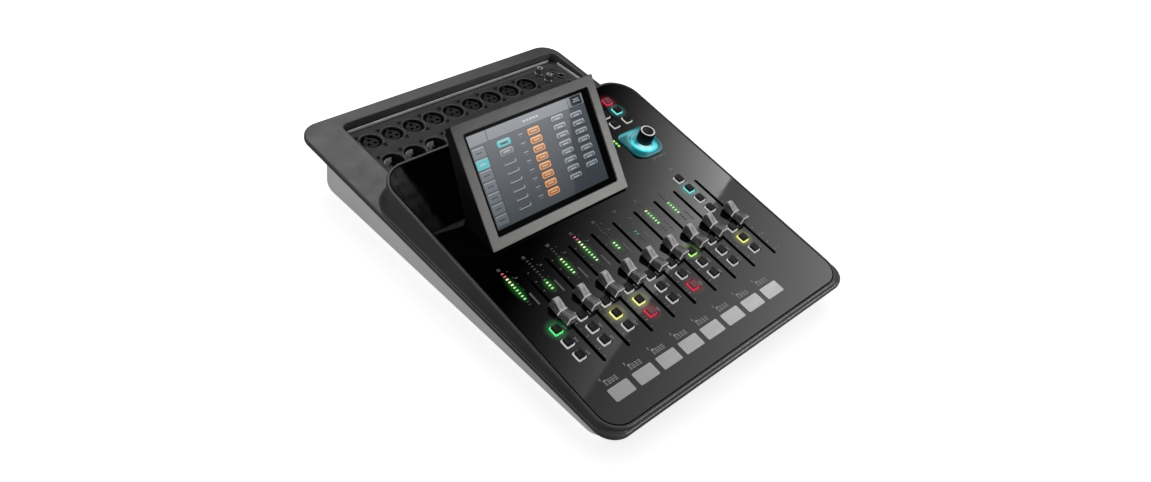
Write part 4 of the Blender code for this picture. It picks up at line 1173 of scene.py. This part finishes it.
def make_display():
    """Black-bordered glass with a lit control page: header, tabs, and columns of generic buttons."""
    pane = outline((BEZEL_BORDER, SCREEN_W - BEZEL_BORDER), (BEZEL_BORDER, SCREEN_H - BEZEL_BORDER),
                   (0.002, 0.002), 5)
    bm = bmesh.new()
    glass_top = -0.0013
    plate(bm, lambda grow: pane(grow - GAP), [], -0.0060, glass_top, 0.0002, 0, 2)
    piece("screen_glass", bm, [GLASS], SCREEN, replaces=["touch_screen"])

    left, right = BEZEL_BORDER + 0.0027, SCREEN_W - BEZEL_BORDER - 0.0095
    low, high = BEZEL_BORDER + 0.0060, SCREEN_H - BEZEL_BORDER - 0.0030
    width, height = right - left, high - low
    page = display("page_slate", (0.026, 0.035, 0.043), (0.066, 0.078, 0.096), 1.0)
    bm = bmesh.new()
    plate(bm, outline((left, right), (low, high), (0.0003, 0.0003), 2), [], glass_top - 0.0001, glass_top + 0.00006,
          0.00002, 0, 1)
    piece("display_page", bm, [page], SCREEN)

    finishes = [display("page_bar", (0.150, 0.170, 0.195), (0.200, 0.220, 0.245), 1.0),
                display("page_grey", (0.080, 0.095, 0.110), (0.150, 0.165, 0.190), 1.0),
                display("page_cyan", (0.02, 0.30, 0.33), (0.08, 0.50, 0.53), 1.0),
                display("page_orange", (0.58, 0.21, 0.06), (0.70, 0.31, 0.12), 1.0),
                display("page_line", (0.40, 0.43, 0.46), (0.52, 0.55, 0.58), 1.0),
                display("page_dark", (0.010, 0.014, 0.022), (0.014, 0.019, 0.030), 1.0),
                display("page_shine", (0.24, 0.27, 0.30), (0.42, 0.45, 0.48), 1.0),
                display("page_rust", (0.20, 0.080, 0.036), (0.27, 0.110, 0.050), 1.0),
                display("page_amber", (0.74, 0.40, 0.17), (0.86, 0.50, 0.25), 1.0)]
    bar, grey, cyan, orange, line, dark, shine, rust, amber = range(9)
    bm = bmesh.new()

    def tile(s, t, wide, tall, finish, level=1, radius=0.0008):
        """A rounded tile at a share s across and t down the page, sized in shares of the page."""
        cx, cy = left + s * width, high - t * height
        w, h = wide * width, tall * height
        r = min(radius, w * 0.45, h * 0.45)
        base = glass_top + 0.00006
        plate(bm, block_outline(cx, cy, w, h, r, 3), [], base - 0.00004, base + 0.00004 * level, 0.00001, finish, 1)

    tile(0.5, 0.060, 0.998, 0.118, bar, 1, 0.0002)
    tile(0.5, 0.119, 0.998, 0.006, dark, 2, 0.0001)
    tile(0.150, 0.060, 0.006, 0.118, dark, 2, 0.0001)
    tile(0.860, 0.060, 0.005, 0.118, dark, 2, 0.0001)
    tile(0.937, 0.057, 0.098, 0.104, dark, 2, 0.0006)
    tile(0.937, 0.045, 0.050, 0.010, shine, 3, 0.0002)
    tile(0.937, 0.068, 0.060, 0.010, shine, 3, 0.0002)
    for k in range(5):
        tile(0.465 + 0.028 * k, 0.062, 0.020, 0.020, line, 2, 0.0003)
    tile(0.112, 0.56, 0.004, 0.87, dark, 1, 0.0001)
    for k in range(7):
        t = 0.195 + 0.120 * k
        tile(0.055, t, 0.098, 0.104, cyan if k == 1 else grey, 2, 0.0010)
        tile(0.055, t - 0.044, 0.088, 0.008, shine, 3, 0.0002)
        tile(0.055, t + 0.004, 0.050, 0.012, line if k == 1 else dark, 3, 0.0003)
    tile(0.26, 0.19, 0.112, 0.072, cyan, 2, 0.0020)
    tile(0.26, 0.165, 0.090, 0.010, line, 3, 0.0003)
    tile(0.26, 0.196, 0.062, 0.020, dark, 3, 0.0005)
    tile(0.26, 0.285, 0.108, 0.064, shine, 1, 0.0018)
    tile(0.26, 0.291, 0.100, 0.050, grey, 2, 0.0015)
    tile(0.26, 0.285, 0.056, 0.010, line, 3, 0.0003)
    for k in range(6):
        t = 0.415 + 0.097 * k
        tile(0.255, t, 0.092, 0.009, shine, 2, 0.0002)
        tile(0.304, t - 0.012, 0.007, 0.030, shine, 2, 0.0002)
        tile(0.212, t - 0.018, 0.022, 0.008, grey, 2, 0.0002)
        tile(0.255, t + 0.014, 0.100, 0.006, dark, 2, 0.0001)
    for k in range(8):
        t = 0.190 + 0.097 * k
        tile(0.515, t, 0.114, 0.084, dark, 1, 0.0020)
        tile(0.515, t, 0.104, 0.074, orange, 2, 0.0018)
        tile(0.515, t - 0.026, 0.084, 0.012, amber, 3, 0.0003)
        tile(0.515, t + 0.006, 0.078, 0.036, rust, 3, 0.0010)
        tile(0.515, t + 0.004, 0.056, 0.012, amber, 4, 0.0003)
        tile(0.403, t - 0.014, 0.040, 0.008, shine, 2, 0.0002)
        tile(0.403, t + 0.012, 0.026, 0.008, grey, 2, 0.0002)
    for s, first, rows in ((0.735, 0.164, 8), (0.900, 0.205, 7)):
        for k in range(rows):
            t = first + 0.094 * k
            tile(s, t, 0.116, 0.070, dark, 1, 0.0020)
            tile(s, t - 0.004, 0.106, 0.058, shine, 2, 0.0018)
            tile(s, t + 0.004, 0.094, 0.042, grey, 3, 0.0014)
            tile(s, t + 0.006, 0.050, 0.010, line, 4, 0.0002)
    piece("display_tiles", bm, finishes, SCREEN)


def pod_back():
    """Frame on the sloping back of the pod: x across, y up the slope and z out of it, and the slope's length."""
    pod = frame["nodes"]["screen_housing"]
    verts = [SCREEN.inverted() @ v.co for v in pod.data.vertices]
    foot = min(verts, key=lambda v: v.z)
    crest = min((v for v in verts if v.y > SCREEN_H * 0.9), key=lambda v: v.z)
    up = Vector((0.0, crest.y - foot.y, crest.z - foot.z))
    across, rise = Vector((-1.0, 0.0, 0.0)), up.normalized()
    axes = Matrix([across, rise, across.cross(rise)]).transposed().to_4x4()
    return SCREEN @ Matrix.Translation((SCREEN_W / 2, foot.y, foot.z)) @ axes, up.length


def make_pod_details():
    """Finish of the pod, its soft edges, and the vent grille and four screws on its back."""
    pod = frame["nodes"]["screen_housing"]
    pod.data.materials.clear()
    pod.data.materials.append(POD)
    soft = pod.modifiers.new("soft_edges", "BEVEL")
    soft.width = 0.0008
    soft.segments = 3
    soft.limit_method = "ANGLE"
    soft.angle_limit = math.radians(30)
    soft.harden_normals = False

    back, length = pod_back()
    bm = bmesh.new()
    wide, tall, slots, gap = 0.070, 0.016, 12, 0.0052
    holes = [block_outline((k - (slots - 1) / 2) * gap, length * 0.72, 0.0022, 0.0110, 0.00108, 5)
             for k in range(slots)]
    plate(bm, block_outline(0, length * 0.72, wide, tall, 0.0030, 5), holes, -0.0003, 0.0009, 0.0003)
    # Black sheet behind the slots: painted shade inside the vent.
    plate(bm, block_outline(0, length * 0.72, wide - 0.003, tall - 0.003, 0.0015, 4), [], -0.0006, 0.0002, 0.0001, 1, 1)
    piece("pod_vent", bm, [POD, HOLE_SHADE], back)
    screw = screw_mesh("pod_screw", 0.0026, SCREW)
    for number, (side, share) in enumerate(((-1, 0.10), (1, 0.10), (-1, 0.90), (1, 0.90))):
        where = back @ Matrix.Translation((side * (SCREEN_W / 2 - 0.009), length * share, 0.0003))
        placed(f"pod_screw_{number + 1}", screw, "desk", (), where @ Matrix.Rotation(0.7 * number, 4, "Z"))


# ---------------------------------------------------------------- rear deck

SOCKET_PITCH = 0.0270
SOCKET_FIRST_X = -0.1138
INPUT_Y, OUTPUT_Y = 0.1860, 0.1470
INPUTS, OUTPUTS = 9, 8
SOCKET_RADIUS = 0.0118
PHONO_SOCKETS = ((0.1325, 0.1965), (0.1330, 0.1805))
JACK_SOCKETS = (((0.1515, 0.1790), 0.0050), ((0.1490, 0.1925), 0.0032), ((0.1510, 0.1630), 0.0050))


def socket_places(count, y):
    return [(SOCKET_FIRST_X + k * SOCKET_PITCH, y) for k in range(count)]


def make_connector_panel():
    bm = bmesh.new()
    places = socket_places(INPUTS, INPUT_Y) + socket_places(OUTPUTS, OUTPUT_Y)
    holes = [circle_outline(x, y, SOCKET_RADIUS + GAP, 40) for x, y in places]
    holes += [circle_outline(x, y, 0.0049, 24) for x, y in PHONO_SOCKETS]
    holes += [circle_outline(x, y, radius + GAP, 24) for (x, y), radius in JACK_SOCKETS]
    plate(bm, lambda grow: tub(grow - GAP), holes, DECK_Z - DECK_THICK, DECK_Z, 0.0003)
    piece("deck_plate", bm, [DECK], replaces=["connector_panel"])

    # Lips along the rear and right of the pocket, in near-white as a painted edge highlight.
    bm = bmesh.new()
    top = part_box("connector_panel")[1].z
    rear_y, right_x = POCKET_Y[1] - 0.0022, POCKET_X[1] - 0.0008
    box(bm, (POCKET_X[0] + 0.006, POCKET_X[1] - 0.008), (rear_y - 0.0014, rear_y), (DECK_Z, top), 0.0005)
    box(bm, (right_x - 0.0014, right_x), (POCKET_Y[0] + 0.034, POCKET_Y[1] - 0.012), (DECK_Z, top), 0.0005)
    piece("deck_lips", bm, [LIP_HIGHLIGHT])


def ring_skin(bm, profile, segments, material):
    """A turned ring, closed on itself."""
    rows = [add_ring(bm, lift(circle_outline(0, 0, radius, segments)(), z)) for radius, z in profile]
    for k, row in enumerate(rows):
        strip(bm, row, rows[(k + 1) % len(rows)], material)


def make_sockets():
    """Three-pin sockets: female with an insert and three contact holes, male with pins in a deep cup."""
    top = DECK_Z - 0.0004
    flange = ((0.0122, DECK_Z - 0.0003), (0.0122, DECK_Z + 0.0004), (0.0125, DECK_Z + 0.0007),
              (0.0129, DECK_Z + 0.0007), (0.0132, DECK_Z + 0.0004), (0.0133, DECK_Z - 0.0003))
    bm = bmesh.new()
    ring_skin(bm, flange, 48, 2)
    ring_skin(bm, ((0.0118, top - 0.016), (0.0118, top + 0.0003), (0.0115, top + 0.0007), (0.0106, top + 0.0007),
                   (0.0102, top + 0.0002), (0.0100, top - 0.0010), (0.0100, top - 0.016)), 48, 0)
    contacts = [circle_outline(0.0042 * math.cos(math.radians(a)), 0.0042 * math.sin(math.radians(a)), 0.0018, 16)
                for a in (90, 210, 330)]
    plate(bm, circle_outline(0, 0, 0.0084, 40), contacts, top - 0.0080, top - 0.0008, 0.0005, 1)
    # Black disc under the insert, seen through the contact holes: painted shade.
    turned(bm, [(0.0099, top - 0.0085), (0.0099, top - 0.0078)], 32, (0, 0), [3])
    plate(bm, block_outline(0, 0.0088, 0.0030, 0.0020, 0.0004), [], top - 0.006, top - 0.0002, 0.0003, 1)
    female = finished_mesh("female_socket", bm, [SOCKET, INSERT, FLANGE_HIGHLIGHT_AND_WEAR, HOLE_SHADE])

    bm = bmesh.new()
    ring_skin(bm, flange, 48, 2)
    ring_skin(bm, ((0.0118, top - 0.016), (0.0118, top + 0.0003), (0.0115, top + 0.0007), (0.0108, top + 0.0007),
                   (0.0101, top - 0.0003), (0.0096, top - 0.0012), (0.0094, top - 0.0140), (0.0105, top - 0.016)), 48, 0)
    turned(bm, [(0.0096, top - 0.0150), (0.0096, top - 0.0130)], 32, (0, 0), [0])
    for a in (90, 210, 330):
        spot = (0.0042 * math.cos(math.radians(a)), 0.0042 * math.sin(math.radians(a)))
        turned(bm, [(0.0012, top - 0.0135), (0.0012, top - 0.0042), (0.0010, top - 0.0036), (0.0005, top - 0.0033)],
               14, spot, [1, 1, 1])
    # Light ring inside the cup; only its arc to the rear left keeps the light finish, as a painted highlight crescent.
    ring_skin(bm, ((0.0093, top - 0.0135), (0.0093, top - 0.0022), (0.0090, top - 0.0020), (0.0088, top - 0.0022),
                   (0.0088, top - 0.0135)), 48, 3)
    for face in bm.faces:
        middle = face.calc_center_median()
        if face.material_index == 3 and 0.665 * middle.y - 0.746 * middle.x < 0.30 * middle.xy.length:
            face.material_index = 0
    male = finished_mesh("male_socket", bm, [SOCKET, PIN, FLANGE_HIGHLIGHT_AND_WEAR, SLEEVE_HIGHLIGHT])
    for k, (x, y) in enumerate(socket_places(INPUTS, INPUT_Y)):
        replaces = ["input_sockets"] if k == 0 else []
        placed(f"input_socket_{k + 1}", female, "desk", replaces, Matrix.Translation((x, y, 0)))
    for k, (x, y) in enumerate(socket_places(OUTPUTS, OUTPUT_Y)):
        replaces = ["output_sockets"] if k == 0 else []
        placed(f"output_socket_{k + 1}", male, "desk", replaces, Matrix.Translation((x, y, 0)))

    screw = screw_mesh("socket_screw", 0.0024, SCREW)
    number = 0
    for x, y in socket_places(INPUTS, INPUT_Y) + socket_places(OUTPUTS, OUTPUT_Y):
        for side in (-1, 1):
            number += 1
            turn = Matrix.Rotation(0.4 * number, 4, "Z")
            where = Matrix.Translation((x + side * 0.0098, y - side * 0.0118, DECK_Z + 0.0003)) @ turn
            placed(f"socket_screw_{number}", screw, "desk", (), where)


def make_small_sockets():
    bm = bmesh.new()
    for k, (x, y) in enumerate(PHONO_SOCKETS):
        tip = DECK_Z + 0.0080
        turned(bm, [(0.0060, DECK_Z), (0.0060, DECK_Z + 0.0010), (0.0046, DECK_Z + 0.0012), (0.0046, tip - 0.0006),
                    (0.0040, tip), (0.0034, tip), (0.0033, tip - 0.0005), (0.0033, tip - 0.0012)], 32, (x, y),
               [0, 0, 0, 0, 0, 0, 0])
        # The centre bore is black: painted shade.
        turned(bm, [(0.0032, tip - 0.0013), (0.0032, tip - 0.0008), (0.0020, tip - 0.0008), (0.0018, tip - 0.0060)],
               24, (x, y), [1, 1, 2])
    white = paint_white("phono_insert", (0.55, 0.54, 0.52))
    piece("phono_sockets", bm, [BRIGHT, white, HOLE_SHADE])
    bm = bmesh.new()
    for (x, y), radius in JACK_SOCKETS:
        tip = DECK_Z + 0.0016
        # The bore of each jack is black: painted shade.
        turned(bm, [(radius, DECK_Z - 0.010), (radius, tip - 0.0004), (radius - 0.0004, tip), (radius * 0.68, tip),
                    (radius * 0.62, tip - 0.0004), (radius * 0.60, DECK_Z - 0.0080)], 28, (x, y), [0, 1, 1, 1, 2])
    piece("jack_sockets", bm, [SOCKET, BRIGHT, HOLE_SHADE])


def make_inside():
    for node, finish in (("main_board", board_mask()), ("power_supply", supply_metal()),
                         ("encoder_shaft", BRIGHT), ("power_rocker", KEY_TOP)):
        mesh = frame["nodes"][node].data
        mesh.materials.clear()
        mesh.materials.append(finish)


# ---------------------------------------------------------------- stage

CAMERA_AT = Vector((-0.60381, -0.49528, 0.65562))
PANEL_REFLECTANCE, SCREEN_REFLECTANCE = 0.053, 0.036
DECK_MIRRORS = (0.593, 0.503, 0.628)          # direction that the camera sees mirrored in the deck
VIEW_RIGHT = Vector((0.72345687, -0.64530879, 0.24532981))     # the camera's axes, in the panel's axes
VIEW_DOWN = Vector((-0.35336513, -0.6514122, -0.67141286))
VIEW_AHEAD = Vector((0.59307946, 0.39904725, -0.69929826))


def plain_mesh(name, points, material):
    mesh = bpy.data.meshes.new(name)
    mesh.from_pydata([tuple(p) for p in points], [], [tuple(range(len(points)))])
    mesh.materials.append(material)
    obj = bpy.data.objects.new(name, mesh)
    bpy.context.scene.collection.objects.link(obj)
    return obj


def make_camera():
    turn = Matrix.Rotation(PANEL_TILT, 3, "X")
    axes = Matrix([turn @ VIEW_RIGHT, turn @ -VIEW_DOWN, turn @ -VIEW_AHEAD]).transposed()
    data = bpy.data.cameras.new("camera")
    data.lens = 30.65
    data.shift_x = 0.0169
    data.shift_y = -0.0201
    data.clip_start = 0.01
    camera = bpy.data.objects.new("camera", data)
    camera.matrix_world = Matrix.Translation(CAMERA_AT) @ axes.to_4x4()
    bpy.context.scene.collection.objects.link(camera)
    bpy.context.scene.camera = camera


def area_light(name, place, target, size, power, receivers=(), spared=()):
    """Soft light. With receivers it lights only those pieces, and with spared it lights all but those."""
    data = bpy.data.lights.new(name, "AREA")
    data.shape = "RECTANGLE"
    data.size, data.size_y = size
    data.energy = power
    obj = bpy.data.objects.new(name, data)
    obj.matrix_world = (Matrix.Translation(place)
                        @ (Vector(target) - Vector(place)).to_track_quat("-Z", "Y").to_matrix().to_4x4())
    bpy.context.scene.collection.objects.link(obj)
    if receivers or spared:
        linked = bpy.data.collections.new(name + "_linked")
        for receiver in (*receivers, *spared):
            linked.objects.link(bpy.data.objects[receiver])
        if spared:
            for entry in linked.collection_objects:
                entry.light_linking.link_state = "EXCLUDE"
        obj.light_linking.receiver_collection = linked
    return obj


def linear(tone):
    """Linear brightness of a display tone from 0 to 255."""
    share = max(tone, 0.0) / 255
    return share / 12.92 if share < 0.04045 else ((share + 0.055) / 1.055) ** 2.4


def reflected_card(name, corners, tone, plane=PANEL, reflectance=PANEL_REFLECTANCE, height=0.9):
    """Card that the camera sees mirrored in a plane, the panel or the screen. corners (u, v) are in pitches, and
    tone(u, v) is the display tone that the reflection gets there."""
    eye = plane.inverted() @ CAMERA_AT
    mirrored = Vector((eye.x, eye.y, -eye.z))
    first, second, third, fourth = (Vector(corner) for corner in corners)
    count = 24
    points, tones = [], []
    for row in range(count + 1):
        for column in range(count + 1):
            low = first.lerp(second, column / count)
            high = fourth.lerp(third, column / count)
            u, v = low.lerp(high, row / count)
            ray = Vector((u * PITCH, v * PITCH, 0.0)) - mirrored
            points.append(plane @ (mirrored + ray * ((height - mirrored.z) / ray.z)))
            tones.append(linear(tone(u, v)))
    faces = []
    for row in range(count):
        for column in range(count):
            k = row * (count + 1) + column
            faces.append((k, k + 1, k + count + 2, k + count + 1))
    mesh = bpy.data.meshes.new(name)
    mesh.from_pydata([tuple(p) for p in points], [], faces)
    shades = mesh.attributes.new("tone", "FLOAT", "POINT")
    shades.data.foreach_set("value", tones)
    material = bpy.data.materials.new(name)
    material.use_nodes = True
    nodes, links = material.node_tree.nodes, material.node_tree.links
    nodes.clear()
    shade = nodes.new("ShaderNodeAttribute")
    shade.attribute_name = "tone"
    scale = nodes.new("ShaderNodeMath")
    scale.operation = "DIVIDE"
    scale.inputs[1].default_value = reflectance
    light = nodes.new("ShaderNodeEmission")
    out = nodes.new("ShaderNodeOutputMaterial")
    links.new(shade.outputs["Fac"], scale.inputs[0])
    links.new(scale.outputs[0], light.inputs["Strength"])
    links.new(light.outputs[0], out.inputs["Surface"])
    mesh.materials.append(material)
    card = bpy.data.objects.new(name, mesh)
    bpy.context.scene.collection.objects.link(card)
    card.visible_camera = False
    card.visible_diffuse = False
    card.visible_shadow = False
    card.visible_transmission = False
    return card



def make_reflections():
    """Two softboxes that meet in one diagonal line across the panel, and a dim one at its rear left corner."""
    reflected_card("front_softbox", ((-2.2, -3.0), (11.0, -3.0), (11.0, 3.75), (-2.2, -0.87)),
                   lambda u, v: 55 + 4.0 * u - 8.6 * v)
    reflected_card("rear_softbox", ((-2.2, -0.87), (11.0, 3.75), (11.0, 10.5), (-2.2, 10.5)),
                   lambda u, v: 80 + 13.3 * u - 21.0 * v)
    reflected_card("corner_softbox", ((-2.2, 4.0), (-1.15, 4.8), (-0.62, 9.6), (-2.2, 11.0)),
                   lambda u, v: 16.5 * (v - 5.2))

    def on_page(share, down):
        return share * SCREEN_W / PITCH, (1 - down) * SCREEN_H / PITCH

    reflected_card("screen_softbox", (on_page(-0.2, 1.1), on_page(0.57, 1.1), on_page(0.84, -0.1), on_page(-0.2, -0.1)),
                   lambda u, v: 32 + 58 * v * PITCH / SCREEN_H, SCREEN, SCREEN_REFLECTANCE)


def make_world():
    """White surroundings that light the desk evenly. Where the desk mirrors them they are dim, and nearly black
    in the direction that the panel and the deck mirror for the camera."""
    world = bpy.data.worlds.new("studio")
    bpy.context.scene.world = world
    world.use_nodes = True
    nodes, links = world.node_tree.nodes, world.node_tree.links

    def ranged(source, start, end, low, high):
        made = nodes.new("ShaderNodeMapRange")
        made.inputs["From Min"].default_value = start
        made.inputs["From Max"].default_value = end
        made.inputs["To Min"].default_value = low
        links.new(source, made.inputs["Value"])
        if isinstance(high, float):
            made.inputs["To Max"].default_value = high
        else:
            links.new(high, made.inputs["To Max"])
        return made.outputs["Result"]

    facing = nodes.new("ShaderNodeVectorMath")
    facing.operation = "DOT_PRODUCT"
    links.new(nodes.new("ShaderNodeTexCoord").outputs["Generated"], facing.inputs[0])
    facing.inputs[1].default_value = DECK_MIRRORS
    mirrored = ranged(facing.outputs["Value"], 0.45, 0.80, 0.16, 0.008)
    glossy = nodes.new("ShaderNodeLightPath").outputs["Is Glossy Ray"]
    background = nodes["Background"]
    background.inputs["Color"].default_value = (1.0, 1.0, 1.0, 1.0)
    links.new(ranged(glossy, 0.0, 1.0, 0.55, mirrored), background.inputs["Strength"])


def make_floor():
    """Pale floor that also lights the desk from below, and looks darker where the desk mirrors it."""
    finish = Surface("floor_pale", (0.90, 0.90, 0.905), 0.6, specular=0.1)
    finish.tone(3, 0.01)
    glossy = finish.node("ShaderNodeLightPath").outputs["Is Glossy Ray"]
    finish.paint(finish.mixed(glossy, finish.base, (0.10, 0.10, 0.10)))
    finish.glow((1.0, 1.0, 1.0), 0.62)
    finish.link(finish.spread(glossy, 0.62, 0.06, (0.0, 1.0)), finish.shader.inputs["Emission Strength"])
    span = 30.0
    plain_mesh("floor", [(-span, -span, 0), (span, -span, 0), (span, span, 0), (-span, span, 0)], finish.material)


def make_stage():
    make_floor()
    make_world()
    make_reflections()
    area_light("key_light", (0.6, 0.9, 1.5), (0, 0, 0.05), (1.0, 0.8), 7, spared=["panel_plate"])
    shell, bezel = ["shell_moulding"], ["bezel_frame"]
    area_light("deck_sheen", (0.06, 0.38, 0.50), (-0.16, 0.02, 0.06), (0.5, 0.5), 1.25, shell)
    area_light("left_edge_light", (-1.1, 0.5, 0.7), (-0.16, 0.05, 0.05), (0.5, 0.5), 5.0, shell)
    area_light("front_edge_light", (0.75, -0.95, 0.65), (0.10, -0.20, 0.03), (0.6, 0.4), 20.0, shell)
    area_light("bezel_light", (0.42, -0.42, 0.36), (0.0, 0.05, 0.12), (0.3, 0.3), 0.9, bezel)
    bpy.context.scene.view_settings.view_transform = "Standard"


def main():
    make_shell()
    make_base()
    make_feet()
    make_case_screws()
    make_inlet_pins()
    make_panel()
    make_keys()
    make_caps()
    make_meters()
    make_print()
    make_pads()
    make_status_lamps()
    make_encoder()
    make_bezel()
    make_display()
    make_pod_details()
    make_connector_panel()
    make_sockets()
    make_small_sockets()
    make_inside()
    make_stage()
    make_camera()


main()
